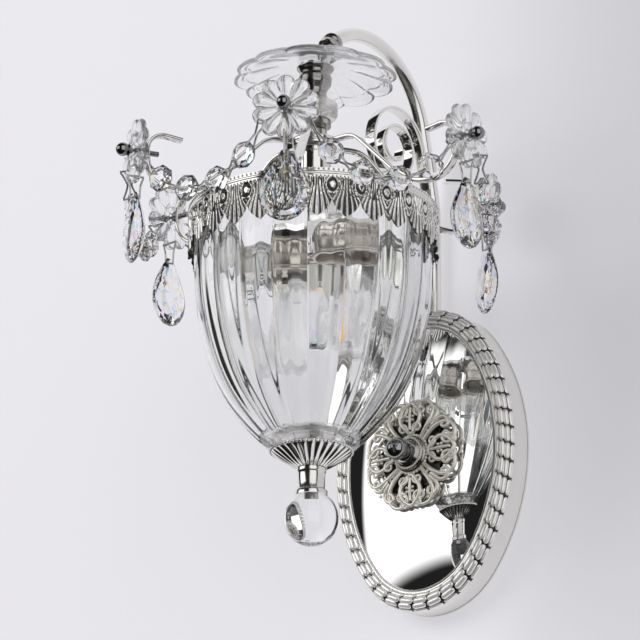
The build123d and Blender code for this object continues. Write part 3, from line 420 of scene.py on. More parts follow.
def bar_section(width, thick, edge, steps=3):
    """The section of a flat bar with rounded edges."""
    section = []
    for quarter, (x, y) in enumerate(((1, 1), (-1, 1), (-1, -1), (1, -1))):
        for i in range(steps + 1):
            a = (quarter + i / steps) * pi / 2
            section.append((x * (width / 2 - edge) + edge * cos(a), y * (thick / 2 - edge) + edge * sin(a)))
    return section


def round_section(radius, count, start=0.0):
    """A circle as a section."""
    angles = [2 * pi * i / count + start for i in range(count)]
    return [(radius * cos(a), radius * sin(a)) for a in angles]


def curve_through(knots, steps):
    """A smooth line through points, four at a time."""
    line = []
    for i in range(len(knots) - 1):
        corners = knots[max(i - 1, 0)], knots[i], knots[i + 1], knots[min(i + 2, len(knots) - 1)]
        for k in range(steps):
            t = k / steps
            line.append(tuple(
                0.5 * (2 * q + (r - p) * t + (2 * p - 5 * q + 4 * r - s) * t * t
                       + (3 * q - p - 3 * r + s) * t ** 3)
                for p, q, r, s in zip(*corners)
            ))
    return line + [tuple(knots[-1])]


def joined(parts):
    """Several (points, faces) as one."""
    points, faces = [], []
    for some_points, some_faces in parts:
        faces += [tuple(i + len(points) for i in face) for face in some_faces]
        points += some_points
    return points, faces


def mesh_of(name, shape):
    """A mesh in metres from points and faces in millimetres, with its faces turned outwards."""
    mesh = bpy.data.meshes.new(name)
    mesh.from_pydata([p * MM for p in shape[0]], [], shape[1])
    work = bmesh.new()
    work.from_mesh(mesh)
    bmesh.ops.recalc_face_normals(work, faces=work.faces)
    work.to_mesh(mesh)
    work.free()
    return mesh


def set_painted_shade(mesh, painted_shade_tones):
    """Gives every point the tone that the relief metal reads, a painted shade that is darkest at 0."""
    mesh.attributes.new("tone", "FLOAT", "POINT").data.foreach_set("value", painted_shade_tones)


def place_piece(name, mesh, material, nodes=(), body="frame", slot="polished_nickel", sharp=40):
    """Puts a mesh in the scene on its body, in place of CAD nodes; sharp 0 keeps every facet."""
    mesh.name = name
    if not mesh.materials:
        mesh.materials.append(material)
    if sharp:
        mesh.shade_smooth()
        mesh.set_sharp_from_angle(angle=radians(sharp))
    else:
        mesh.shade_flat()
    piece = in_scene(name, mesh)
    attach(piece, body)
    for node in nodes:
        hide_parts(node)
    print(name, len(mesh.polygons), "faces")


def place_split(name, mesh, first, second, is_second, nodes, **options):
    """Places a mesh with two finishes; a test on each face's centre picks the second."""
    mesh.materials.append(first)
    mesh.materials.append(second)
    for face in mesh.polygons:
        face.material_index = 1 if is_second(face.center) else 0
    place_piece(name, mesh, first, nodes, **options)


def add_piece(name, shape, material, nodes=(), **options):
    """A piece straight from points and faces."""
    place_piece(name, mesh_of(name, shape), material, nodes, **options)


# %% [markdown]
# What repeats is grown by Geometry Nodes, so its count and spacing stay numbers.
# One tree turns copies about an axis, the other lays copies along a path.

# %% Geometry trees


def start_tree(name, **sockets):
    """A geometry tree with one output and named inputs, which come back as Signals."""
    tree = bpy.data.node_groups.new(name, "GeometryNodeTree")
    for label, kind in sockets.items():
        tree.interface.new_socket(label, in_out="INPUT", socket_type="NodeSocket" + kind)
    tree.interface.new_socket("Result", in_out="OUTPUT", socket_type="NodeSocketGeometry")
    outputs = tree.nodes.new("NodeGroupInput").outputs
    return tree, [Signal(tree, outputs[label]) for label in sockets]


def end_tree(tree, spots, piece, turn, finish):
    """Sets turned copies on the spots, makes them real, gives them their finish and ends the tree."""
    sockets = {"Points": spots, "Instance": piece, "Rotation": turn}
    copies = add_node(tree, "GeometryNodeInstanceOnPoints", sockets)
    real = add_node(tree, "GeometryNodeRealizeInstances", {0: copies})
    dressed = add_node(tree, "GeometryNodeSetMaterial", {"Geometry": real, "Material": finish})
    add_node(tree, "NodeGroupOutput", {0: dressed})


ring_tree, (piece, count, start, centre, axis, finish) = start_tree(
    "copies_round_axis", Piece="Geometry", Count="Int", Start="Float", Centre="Vector", Axis="Vector",
    Finish="Material",
)
spots = add_node(ring_tree, "GeometryNodePoints", {"Count": count, "Position": centre})
angle = add_node(ring_tree, "GeometryNodeInputIndex") * 2 * pi / count + start
turn = add_node(ring_tree, "FunctionNodeAxisAngleToRotation", {"Axis": axis, "Angle": angle})
end_tree(ring_tree, spots, piece, turn, finish)

path_tree, (path, count, facing, piece, finish) = start_tree(
    "copies_along_path", Path="Geometry", Count="Int", Facing="Vector", Piece="Object", Finish="Material"
)
line = add_node(path_tree, "GeometryNodeMeshToCurve", {0: path})
spots = add_node(path_tree, "GeometryNodeResampleCurve", {"Curve": line, "Count": count})
forward = add_node(path_tree, "GeometryNodeInputTangent")
lie = add_node(path_tree, "FunctionNodeAlignRotationToVector", {"Vector": forward}, axis="X")
turn = add_node(
    path_tree, "FunctionNodeAlignRotationToVector", {"Rotation": lie, "Vector": facing},
    axis="Z", pivot_axis="X",
)
shown = add_node(path_tree, "GeometryNodeObjectInfo", {"Object": piece}, "Geometry")
end_tree(path_tree, spots, shown, turn, finish)


def grown(tree, mesh, inputs):
    """Runs a geometry tree on a mesh and returns the result as a plain mesh."""
    seed = in_scene("seed", mesh)
    modifier = seed.modifiers.new("grow", "NODES")
    modifier.node_group = tree
    for item in tree.interface.items_tree:
        if item.in_out == "INPUT" and item.name in inputs:
            modifier[item.identifier] = inputs[item.name]
    ready = seed.evaluated_get(bpy.context.evaluated_depsgraph_get())
    result = bpy.data.meshes.new_from_object(ready)
    seed.modifiers.remove(modifier)
    bpy.data.objects.remove(seed)
    return result


def ring_piece(name, mesh, count, material, nodes=(), start=0, plate=False, **options):
    """Copies of one mesh turned about the bell's axis, or about the plate's middle, as one piece."""
    copies = grown(ring_tree, mesh, {
        "Count": count,
        "Start": radians(start),
        "Centre": (0, 0, 0) if plate else (0, -AXIS_OUT * MM, 0),
        "Axis": (0, -1, 0) if plate else (0, 0, 1),
        "Finish": material,
    })
    place_piece(name, copies, material, nodes, **options)


def bead_ring(name, size, radius, height, count, material, plate=False, rings=8, sides=10):
    """A ring of beads about the bell's axis, or about the plate's middle."""
    def place(x, y, z):
        return on_plate(radius + x, y, height + z) if plate else Vector((x, y - radius, height + z))

    bead = mesh_of("bead", ball(size, place, rings, sides))
    ring_piece(name, bead, count, material, plate=plate, sharp=70)


print("trees", ring_tree.name, path_tree.name)

# %% [markdown]
# The wall plate is a pressed oval pan with a mirror-polished dome.
# Its rows are ovals of four tangent arcs: shrinking ones climb the shallow dome, the others wrap the pan.

# %% Wall plate
PLATE_WIDTH, PLATE_HEIGHT, PLATE_END, PLATE_FRONT, PLATE_WALL = 61.0, 86.8, 48.0, 14.0, 1.6
DOME_TOP, DOME_EDGE, DOME_INSET = 25.5, 18.4, 11.4
OVAL_STEPS = 240


def oval(inset, out):
    """The plate's oval, moved in by an even distance, clockwise from the top."""
    half_width, half_height, end = PLATE_WIDTH - inset, PLATE_HEIGHT - inset, PLATE_END - inset
    end_centre = half_height - end
    side = (half_width ** 2 + end_centre ** 2 - end ** 2) / (2 * (half_width - end))
    side_centre = side - half_width
    slope = end * side_centre / (end_centre * (hypot(side_centre, end_centre) + end))
    row = []
    for i in range(OVAL_STEPS):
        dx, dz = sin(2 * pi * i / OVAL_STEPS), cos(2 * pi * i / OVAL_STEPS)
        if abs(dx) < slope * abs(dz):
            cx, cz, r = 0, copysign(end_centre, dz), end
        else:
            cx, cz, r = -copysign(side_centre, dx), 0, side
        along = dx * cx + dz * cz
        reach = along + sqrt(along ** 2 - cx ** 2 - cz ** 2 + r ** 2)
        row.append(on_plate(dx * reach, dz * reach, out))
    return row


def dome_rows(wall, steps=36):
    """Ovals from the top of the dome down to its edge, on a parabola."""
    edge = oval(DOME_INSET, 0)
    rows = [[on_plate(0, 0, DOME_TOP - wall)]]
    for k in range(1, steps + 1):
        size = sin(k / steps * pi / 2)
        out = DOME_TOP - wall - (DOME_TOP - DOME_EDGE) * size ** 2
        rows.append([on_plate(p.x * size, p.z * size, out) for p in edge])
    return rows


flank = (
    (11.2, 14), (0.6, 14), (0.2, 13.8), (0, 13.3), (0, 2.2), (0.1, 2), (0.8, 2),
    (0.8, 1.2), (0.1, 1.2), (0, 1), (0, 0), (PLATE_WALL, 0), (PLATE_WALL, 12.4),
)
pan_rows = dome_rows(0) + [oval(*step) for step in flank] + dome_rows(PLATE_WALL)[::-1]
place_split(
    "plate_pan", mesh_of("pan", stacked(pan_rows)), mirror, rim_silver,
    lambda middle: -middle.y < PLATE_FRONT * MM + 0.00001, ["wall_plate"], slot="mirror_plate", sharp=30,
)

# %% [markdown]
# The border is a cast moulding: a dark half-round ground of painted shade, a plain bright bevel inside it,
# and bundles of four reeds laid end to end round the oval, each row a little ahead of the last.

# %% Rope border
BORDER_INSET, BORDER_HALF, BORDER_RISE, BORDER_SEAT = 5.65, 5.59, 5.2, 0.05
BUNDLES, HALF_BUNDLE, REED_PITCH, REED_RADIUS, REED_SEAT, REED_LEAD = 46, 4.95, 36, 1.95, 4.15, 0.55
REED_ROWS, REED_SIDES, REED_END = 16, 14, 0.12

# The ground's near-black is painted shade for the gaps between the bundles.
ground = []
for k in range(13):
    a = radians(-90 + 15 * k)
    out = PLATE_FRONT + BORDER_SEAT + BORDER_RISE * cos(a)
    ground.append(oval(BORDER_INSET - BORDER_HALF * sin(a), out))
add_piece("border_ground", stacked(ground, True), painted_shade_metal, ["rope_border"], sharp=60)
bevel_profile = (
    (6.5, BORDER_SEAT), (6.4, 0.7), (5, 3.6), (4.3, 4.4), (3.6, 4.5), (3.2, 3.9), (3.2, BORDER_SEAT),
)
bevel = [oval(BORDER_INSET + across, PLATE_FRONT + up) for across, up in bevel_profile]
add_piece("border_bevel", stacked(bevel, True), rope_silver, sharp=35)

reeds = []
for number in range(4):
    tilt = radians(-30 + REED_PITCH * number)
    across, up = REED_SEAT * sin(tilt), REED_SEAT * cos(tilt)
    rows = []
    for k in range(REED_ROWS + 1):
        along = sin(pi * (k / REED_ROWS - 0.5))
        size = REED_RADIUS * (1 - abs(along) ** 5) ** 0.5 if abs(along) < 1 else REED_END
        rows.append([
            Vector((HALF_BUNDLE * along + REED_LEAD * across, across + v, up + u))
            for u, v in round_section(size, REED_SIDES)
        ])
    reeds.append(capped(rows))
bundle = bpy.data.objects.new("bundle", mesh_of("bundle", joined(reeds)))
track = bpy.data.meshes.new("track")
track_points = [p * MM for p in oval(BORDER_INSET, PLATE_FRONT)]
track.from_pydata(track_points, [(i, (i + 1) % OVAL_STEPS) for i in range(OVAL_STEPS)], [])
bundles = grown(path_tree, track, {
    "Count": BUNDLES, "Facing": (0, -1, 0), "Piece": bundle, "Finish": rope_silver,
})
bpy.data.objects.remove(bundle)
place_piece("border_bundles", bundles, rope_silver, sharp=60)

# %% [markdown]
# The rosette in front of the dome is a filigree casting: wire-like scrolls soldered into
# four almond petals and four pairs of curls round a beaded ring, over a dark lobed ground of painted shade.
# A quarter is drawn once as flat paths, lifted into a shallow dish, and turned about the middle.

# %% Filigree rosette
ROSETTE_OUT, ROSETTE_RISE, ROSETTE_INNER, ROSETTE_SPAN = 26.5, 1.6, 9.0, 22.0
PETAL_MIDDLE, PETAL_DOTS = 20.6, 28.6


def wire(path, radius, lift, closed=False, taper=None):
    """A round wire along a flat path, lifted into the rosette's dish."""
    lifted = []
    for x, y in path:
        share = min(max((hypot(x, y) - ROSETTE_INNER) / ROSETTE_SPAN, 0), 1)
        lifted.append(on_plate(x, y, ROSETTE_OUT + lift + ROSETTE_RISE * sin(pi * share)))
    return swept(lifted, Vector((0, -1, 0)), round_section(radius, 9), closed, taper)


def mirrored(path):
    return [(-x, y) for x, y in path]


def tilted(path, degrees):
    turn = radians(degrees)
    return [(x * cos(turn) + y * sin(turn), y * cos(turn) - x * sin(turn)) for x, y in path]


def almond(near, far, half_width, steps=22):
    """A pointed petal outline along y."""
    right_side = []
    for k in range(steps + 1):
        t = k / steps
        right_side.append((half_width * sin(pi * t) ** 0.8 * (0.86 + 0.28 * t), near + (far - near) * t))
    return right_side + mirrored(right_side[-2:0:-1])


def fade(t):
    return 1.0 - 0.45 * t


def lobed(radius, height, angle):
    """Eight shallow lobes round the outside of the rosette's ground."""
    return radius + (2.2 * cos(8 * angle) if radius > ROSETTE_INNER else 0), height


c_scroll = walk((1.3, 11), 84, [(6,), (26, -18), (7, -150), (3.6, -180), (2, -150)], 0.7)
rim_curl = walk((0.9, 20.5), 88, [(4.6,), (4.2, -130), (2.2, -190), (1.3, -120)], 0.6)
base_curl = walk((2.4, 12.6), 120, [(3.2, -110), (2.1, -190), (1.2, -150)], 0.5)
tip_curl = walk((5.3, 25.6), 40, [(2.8, 110), (1.8, 200), (1, 120)], 0.5)
quarter = [
    wire(almond(11.6, 29.8, 6.8), 1.25, 0.3, True),
    wire([(0, 14), (0, 20), (0, 27)], 0.9, 0.7),
]
for half, degrees, radius, lift in (
    (rim_curl, 45, 1.35, 0.2), (c_scroll, 45, 1.35, 0.2), (base_curl, 0, 1.0, 0.5), (tip_curl, 0, 1.0, 0.5),
):
    for side in (half, mirrored(half)):
        quarter.append(wire(tilted(side, degrees), radius, lift, False, fade))
dots = [(0, PETAL_MIDDLE, PETAL_DOTS, 1.15)]
for k in range(6):
    x, y = tilted([(0, 2.3)], 60 * k)[0]
    dots.append((x, PETAL_MIDDLE + y, PETAL_DOTS, 0.95))
dots += [(x, y, 27.6, 1) for x, y in tilted([(0, 16.4), (0, 19.2), (0, 29.6)], 45)]
for x, y, out, size in dots:
    quarter.append(ball(size, lambda a, b, c: on_plate(x + a, y + b, out + c)))
ring_piece(
    "filigree", mesh_of("quarter", joined(quarter)), 4, pale_silver, ["plate_rosette"], plate=True, sharp=60
)
rosette_profile = ((ROSETTE_INNER, 25.7), (23, 25.7), (23, 26.1), (ROSETTE_INNER, 26.1))
# The dark ground is painted shade behind the wires.
add_piece("rosette_ground", turned(rosette_profile, 192, on_plate, True, lobed, 0), painted_shade_metal)
bead_ring("bead_ring", 0.95, 11.0, 27.3, 36, pale_silver, plate=True)

# %% Boss and knob


def ball_head(radius, centre, degrees):
    """The end of a profile: part of a ball, closed at the axis."""
    arc = [(radius * sin(a), centre - radius * cos(a)) for a in map(radians, degrees)]
    return arc + [(0, centre + radius)]


boss_profile = (
    (3.1, 27.2), (10.4, 27.2), (10.4, 28), (9.5, 28.5), (9.2, 29.6), (8.4, 30), (8.2, 31.2),
    (7.2, 31.7), (6.6, 32.6), (3.1, 32.6),
)
boss = turned(boss_profile, place=on_plate, ease=0.2)
add_piece("boss", boss, dark_nickel, ["rosette_boss"], sharp=30)
bead_ring("boss_beads", 0.62, 8.7, 30.6, 40, pale_silver, plate=True)
knob_profile = [(0, 32.75), (5.2, 32.75), (5.4, 33.3), (5.2, 34), (4.4, 34.3), (4.3, 35.2)]
knob_profile += ball_head(6.3, 40.19, range(40, 176, 5))
knob = turned(knob_profile, place=on_plate, closed=False, ease=0)
add_piece("knob", knob, pin_metal, ["plate_knob"], body="plate_knob", sharp=35)

# %% [markdown]
# The arm is a bent tube with a strap scroll in its crook and a double-ringed collar.

# %% Gooseneck, scroll and collar
SIDE = Vector((1, 0, 0))
ARM_RADIUS, ARM_BEND, ARM_BEND_HEIGHT = 4.07, 49.84, 186.9

arm_path = walk((6, 78), 90, [(62.6,), (90, -14), (37.7,), (ARM_BEND, -166), (50.9,)], 1.4)
arm = swept(upright(arm_path), SIDE, round_section(ARM_RADIUS, 40))
add_piece("arm_tube", arm, soft_nickel, ["gooseneck"], sharp=50)
scroll_moves = [(23,), (23.5, -166), (18, -180), (13, -180), (8.5, -180)]
scroll_path = walk((13.573, 161.151), 76, scroll_moves, 1.0)
scroll = swept(upright(scroll_path), SIDE, bar_section(6.8, 1.8, 0.5))
add_piece("arm_curl", scroll, nickel, ["arm_scroll"], sharp=50)
collar_turn = radians(43)
collar_place = along_line(
    (0, -AXIS_OUT + ARM_BEND * (1 - cos(collar_turn)), ARM_BEND_HEIGHT + ARM_BEND * sin(collar_turn)),
    (0, sin(collar_turn), cos(collar_turn)),
)
collar_profile = (
    (4.3, -4), (5.9, -4), (5.9, -0.9), (5, -0.7), (5, 0.7), (5.9, 0.9), (5.9, 4), (4.3, 4),
)
add_piece("collar", turned(collar_profile, 64, collar_place, ease=0.5), dark_nickel, ["arm_collar"])

# %% [markdown]
# The dish is pressed glass: a flat seat, a drooping skirt of twelve lobes and a rolled edge.
# Its radius follows the lobes, and two soft steps near the rim give the edge its double lines.

# %% Glass dish
LOBES, LOBE_RADIUS, LOBE_CIRCLE, LOBE_SHARE, LOBE_LIFT = 12, 12.5, 33.0, 0.85, 0.55
DISH_HOLE, DISH_SEAT, DISH_VALLEY = 8.8, 0.3, 43.0


def lobe_reach(angle, lobes, circle, radius):
    """How far a ring of round lobes reaches in a direction."""
    off = (angle + pi / lobes) % (2 * pi / lobes) - pi / lobes
    return circle * cos(off) + sqrt(max(radius ** 2 - (circle * sin(off)) ** 2, 0))


def dish_shape(share, height, angle):
    """Carries a profile of (share of the way out, height) to the lobed rim."""
    full = LOBE_CIRCLE + LOBE_RADIUS
    rim = full - LOBE_SHARE * (full - lobe_reach(angle, LOBES, LOBE_CIRCLE, LOBE_RADIUS))
    radius = DISH_HOLE + ((rim if share > DISH_SEAT else full) - DISH_HOLE) * share
    blend = max(0.0, (share - DISH_SEAT) / (1 - DISH_SEAT))
    valley = (full - rim) / (full - DISH_VALLEY)
    return radius, height + LOBE_LIFT * blend * min(valley, 1.0)


dish_profile = curve_through([
    (0.001, 206.6), (0.08, 206.7), (0.18, 206.3), (0.36, 205.2), (0.55, 203.2), (0.70, 201),
    (0.80, 199.6), (0.86, 199.6), (0.90, 198.3), (0.95, 197.9), (0.985, 196.8), (1, 195.6),
    (0.99, 194.9), (0.96, 194.8), (0.90, 195.6), (0.80, 196.8), (0.62, 198.9), (0.42, 200.6),
    (0.2, 201.9), (0.08, 202.4), (0.001, 202.5),
], 3)
dish = turned(dish_profile, 360, shape=dish_shape, ease=0)
add_piece("dish", dish, pressed_glass, ["glass_dish"], slot="clear_glass", sharp=50)

# %% [markdown]
# Under the dish stands a stack of turned pieces on the arm's end: cup, barrel, nut, column and hub.

# %% Stem
BORE = 4.3


def knurl(radius, height, angle):
    """Forty-eight fine grooves round the outside of the nut."""
    return radius + (0.22 * cos(48 * angle) if radius > 5 else 0), height


cup_profile = (
    (BORE, 181), (7.4, 181), (7.8, 183), (6.4, 185.4), (6.6, 188.5), (9, 192), (9.4, 196),
    (8.2, 198), (9.6, 200.4), (10.4, 201.2), (10.4, 202.3), (8.6, 202.3), (8.6, 206.4), (7.9, 206.4),
    (7.8, 197.0), (BORE, 190.0),
)
add_piece("cup", turned(cup_profile, ease=0.4), dark_nickel, ["dish_cup"])
barrel_profile = (
    (BORE, 171), (9.4, 171), (11.6, 172.2), (12.6, 174), (12.6, 180), (11.8, 180.9), (BORE, 180.9),
)
add_piece("barrel", turned(barrel_profile), barrel_glass, ["stem_barrel"], slot="ivory_sleeve")
nut_profile = (
    (BORE, 159.1), (6.3, 159.1), (6.5, 160.2), (6.5, 164.6), (5.9, 165.6), (5.6, 166.4), (8.8, 166.8),
    (8.8, 170.8), (BORE, 170.8),
)
add_piece("knurled_nut", turned(nut_profile, 288, shape=knurl, ease=0.3), dark_nickel, ["stem_nut"])
column_profile = (
    (BORE, 110), (9.75, 110), (9.75, 113.5), (9.2, 114.2), (9.2, 149.8), (9.75, 150.6), (9.75, 158.9),
    (BORE, 158.9),
)
add_piece("column_tube", turned(column_profile, ease=0.35), nickel, ["column"])
hub_profile = (
    (9.85, 152.5), (13, 152.5), (14, 153.6), (14, 154.9), (13.4, 155.5), (14, 156.1), (14, 157.6),
    (13.2, 158.5), (9.85, 158.5),
)
add_piece("hub", turned(hub_profile), nickel, ["arm_hub"])

# %% [markdown]
# Six straps leave the hub, dip, and curl up to carry a crystal each.

# %% Strap arms
STRAPS, FIRST_STRAP = 6, 30

strap_moves = [(7.95,), (14, -45), (34,), (36, 45), (16, 90), (5,), (9.5, 97), (9,)]
strap_path = upright(walk((14.05, 156), 0, strap_moves, 1.0))
strap = mesh_of("strap", swept(strap_path, SIDE, bar_section(5.0, 2.0, 0.6)))
strap_nodes = [f"strap_arm_{n}" for n in range(1, STRAPS + 1)]
ring_piece("straps", strap, STRAPS, nickel, strap_nodes, FIRST_STRAP, sharp=50)

# %% [markdown]
# The gallery band is a stamped strip of 27 leaves: raised ribs part round the eyelets between
# the leaves and fan out from each leaf's spine down to its lobed edge.
# One leaf is a curved sheet whose height and painted groove shade come from the same rib function.

# %% Gallery band
BAND_RADIUS, BAND_INSIDE, BAND_TOP, BAND_STRIP, BAND_BOTTOM = 68.2, 67.2, 116.3, 110.9, 89.2
LEAVES, ACROSS, DOWN = 27, 30, 50
HALF_LEAF = pi * BAND_RADIUS / LEAVES
EYELET_HEIGHT, EYELET_RADIUS, EYELET_RIM, GAP_HEIGHT = 106.9, 2.7, 1.2, 12.0
RIB_PITCH, RIB_PART, RELIEF_FLOOR, RELIEF_HEIGHT, BACK_TONE = 2.7, 2.4, 0.3, 0.9, 0.6


def leaf_half(z):
    """Half the width of a leaf at a height, with small lobes down its edge."""
    rise = z - BAND_BOTTOM
    if rise >= GAP_HEIGHT:
        return HALF_LEAF
    lobes = 0.45 * abs(sin(pi * rise / 2.6)) - 0.25
    return max(HALF_LEAF - 7.9 * (1 - rise / GAP_HEIGHT) ** 2.3 + lobes * min(1, rise / 2), 0.05)


def rib(x, z):
    """Relief and painted shade, 0 to 1: ribs part round the eyelets and fan out down to the leaf's edge."""
    if z > BAND_STRIP + 0.2:
        return 0.75
    eyelet = hypot(HALF_LEAF - abs(x), 0.72 * (z - EYELET_HEIGHT)) - EYELET_RADIUS
    if eyelet < 0:
        return 1.0 if eyelet < -1.0 else 0.0
    if eyelet < EYELET_RIM:
        return 0.5 - 0.5 * cos(2 * pi * eyelet / EYELET_RIM)
    fall = (BAND_STRIP - z) / (BAND_STRIP - BAND_BOTTOM)
    line = (abs(x) + RIB_PART * exp(-(eyelet / 3.2) ** 2)) / (0.66 + 0.62 * fall)
    return 0.5 + 0.5 * cos(2 * pi * line / RIB_PITCH)


leaf_rows, painted_shade_tones = [], []
for row in range(DOWN + 1):
    z = BAND_TOP - (BAND_TOP - BAND_BOTTOM) * row / DOWN
    half = leaf_half(z)
    front, back = [], []
    for k in range(ACROSS + 1):
        x = half * (2 * k / ACROSS - 1)
        # The relief is also the tone: grooves are painted shade, near black.
        tone = rib(x, z)
        angle = x / BAND_RADIUS
        radius = BAND_RADIUS - RELIEF_FLOOR + RELIEF_HEIGHT * tone
        front.append(Vector((radius * sin(angle), -radius * cos(angle), z)))
        back.append(Vector((BAND_INSIDE * sin(angle), -BAND_INSIDE * cos(angle), z)))
        painted_shade_tones.append(tone)
    leaf_rows.append(front + back[::-1])
    painted_shade_tones += [BACK_TONE] * (ACROSS + 1)
leaf = mesh_of("leaf", capped(leaf_rows))
set_painted_shade(leaf, painted_shade_tones)
ring_piece("band_leaves", leaf, LEAVES, painted_shade_relief, ["gallery_band"], sharp=70)
shelf = ((66.35, 110.4), (67.6, 110.4), (67.6, 112), (66.35, 112))
add_piece("band_shelf", turned(shelf, 160), nickel)
for height, size, count in ((115.5, 0.75, 160), (111.7, 0.6, 200)):
    bead_ring(f"band_beads_{count}", size, 68.45, height, count, nickel, rings=6, sides=8)
rail = ((67.9, 112.6), (68.75, 112.7), (68.9, 113.6), (68.75, 114.5), (67.9, 114.6))
add_piece("band_rail", turned(rail, 240), nickel)

# %% [markdown]
# The bell is pressed glass with twenty convex flutes, which show more softly on its inside,
# where a fine ripple runs between them.
# The rows swell between the valleys by a parabola.

# %% Glass bell
BELL = [
    (65.7, 115.4), (65.5, 92), (64.4, 65.5), (60.9, 44), (55.6, 26), (49.8, 13), (43.2, 2.6),
    (34.6, -8), (26.6, -16), (21.8, -20),
]
FLUTES, FLUTE_DEPTH, RIPPLE, BELL_WALL, BELL_STEPS = 20, 0.04, 0.0012, 4.6, 480
BELL_HOLE, BELL_BASE, BELL_FLOOR, LIP_FOOT = 2.9, -20.0, -14.0, 112


def flute(radius, height, angle):
    """Swells the wall between valleys."""
    off = angle * FLUTES / (2 * pi) % 1.0 - 0.5
    return radius * (1 - FLUTE_DEPTH * (2 * off) ** 2), height


def soft_flute(radius, height, angle):
    """The same flutes, half as deep, with a fine ripple between them."""
    ripple = RIPPLE * cos(2 * FLUTES * angle)
    return (radius + flute(radius, height, angle)[0]) / 2 - radius * (RIPPLE + ripple), height


whole = curve_through(BELL, 8)
outside = [p for p in whole if p[1] < LIP_FOOT] + [(BELL_HOLE, BELL_BASE)]
floor_line = [(BELL_HOLE, BELL_FLOOR), (17.0, BELL_FLOOR)]
inside = [(r - BELL_WALL, z) for r, z in whole[::-1] if z > BELL_FLOOR + 0.1]
lip = [(61.1, 115.45), (66.6, 115.45), (66.85, 115.2), (66.85, 112.3), (66.6, 112.05), (65.7, 112.05)]
bell_points = []
for profile, shape in ((outside, flute), (floor_line, None), (inside, soft_flute), (lip, None)):
    bell_points += turned(profile, BELL_STEPS, closed=False, shape=shape, ease=0)[0]
bell_rows = [bell_points[k:k + BELL_STEPS] for k in range(0, len(bell_points), BELL_STEPS)]
place_split(
    "bell", mesh_of("bell", stacked(bell_rows, True)), bell_glass, floor_glass,
    lambda middle: middle.z < (BELL_FLOOR + 0.2) * MM, ["glass_bell"], slot="clear_glass", sharp=55,
)

# %% [markdown]
# A cup with soft gadroons closes the bell below, and a neck under it holds the glass ball.

# %% Finial
GADROONS, GADROON_DEPTH, CUP_BORE, CUP_RIM = 14, 0.09, 2.6, -21.2


def gadroon(radius, height, angle):
    """Presses soft lobes into the flank of the cup."""
    share = max(0.0, 1 - ((height + 25.5) / 4.6) ** 2) if radius > 6 else 0.0
    return radius * (1 - GADROON_DEPTH * share * (1 - abs(cos(GADROONS * angle)))), height


cup_side = curve_through([(8, -30.5), (10.8, -29), (15.9, -25.8), (20.4, -22.9), (22, -21.6)], 5)
finial_profile = [(CUP_BORE, -30.5)] + cup_side + [(22, -20.3), (21.6, -20.06), (CUP_BORE, -20.06)]
gadroons = mesh_of("gadroons", turned(finial_profile, 336, shape=gadroon, ease=0))
# The tone paints shade into the valleys between the gadroons; above the rim it stays bright.
painted_shade_tones = []
for vertex in gadroons.vertices:
    angle = atan2(vertex.co.x, -vertex.co.y - AXIS_OUT * MM)
    painted_shade_tones.append(1.0 if vertex.co.z > CUP_RIM * MM else abs(cos(GADROONS * angle)))
set_painted_shade(gadroons, painted_shade_tones)
place_piece("finial_gadroons", gadroons, painted_shade_relief, ["finial_cup"], sharp=35)
bead_ring("finial_beads", 0.95, 21.9, -21.0, 64, nickel)
neck_profile = (
    (CUP_BORE, -30.65), (8, -30.65), (8, -32.9), (7.5, -33.3), (7.5, -42.6), (8.9, -43.2),
    (8.9, -46.1), (CUP_BORE, -44.4),
)
neck = turned(neck_profile, 128, ease=0.35)
add_piece("finial_barrel", neck, soft_nickel, ["finial_neck"], body="finial", sharp=35)
glass_ball = ball(15.0, on_axis, 64, 128, -58.3)
add_piece(
    "glass_ball", glass_ball, ball_glass, ["finial_ball"], body="finial", slot="clear_glass", sharp=60
)

# %% [markdown]
# Two spun sockets hang under the lamp bar: a domed shoulder, a reeded band and a rolled mouth.
# Each lamp's filament is a pair of thin straight rods on a stem.

# %% Sockets and filaments
LAMPS = ((1, -24), (2, 24))
ROD_RADIUS = 0.75


def reeded(radius, height, angle):
    """Forty shallow reeds on the socket's band."""
    amount = 0.35 if radius > 14 and 93.4 < height < 100.6 else 0.0
    return radius - amount * abs(sin(20 * angle)), height


shoulder = curve_through([(14.3, 97.5), (13.6, 101.4), (11, 104.4), (7.6, 106), (5, 106.45)], 4)
socket_profile = [
    (0, 104.9), (6.62, 104.9), (6.62, 86.1), (9, 86.1), (9, 103), (12.8, 98), (12.8, 84.6),
    (13.2, 84.2), (14.3, 84.2), (14.8, 84.8), (14.8, 86), (14.3, 86.6), (14.3, 93), (14.45, 93.5),
    (14.45, 96.9),
] + shoulder + [(0, 106.45)]
for number, side in LAMPS:
    socket = turned(socket_profile, 160, lambda x, y, z: on_axis(x + side, y, z), False, reeded, 0.2)
    add_piece(f"socket_{number}", socket, socket_shell, [f"lamp_socket_{number}"])
for number, side in LAMPS:
    rods = []
    for off, top, bottom in ((-1.3, 72.0, 37.2), (1.3, 72.0, 37.2), (0.0, 80.6, 70.0)):
        rod = ((0, bottom), (ROD_RADIUS, bottom), (ROD_RADIUS, top), (0, top))
        rods.append(turned(rod, 12, lambda x, y, z: on_axis(x + side + off, y, z), False, None, 0))
    add_piece(
        f"rods_{number}", joined(rods), amber, [f"bulb_filament_{number}"], body=f"bulb_{number}",
        slot="filament",
    )

# %% [markdown]
# Each station carries a pressed crystal flower on a ball-headed pin.
# The flower is one sheet of glass: its rim follows ten petals and grooves part them.

# %% Crystal flowers and pins
STATION_OUT, STATION_HEIGHT = 103.75, 136.5
PETALS, PETAL_CIRCLE, PETAL_RADIUS, PETAL_GROOVE = 10, 13.4, 4.9, 0.62
FLOWER_ROWS, FLOWER_STEPS, FLOWER_RIM, FLOWER_RISE, FLOWER_MIDDLE = 18, 200, 0.35, 3.35, 2.7


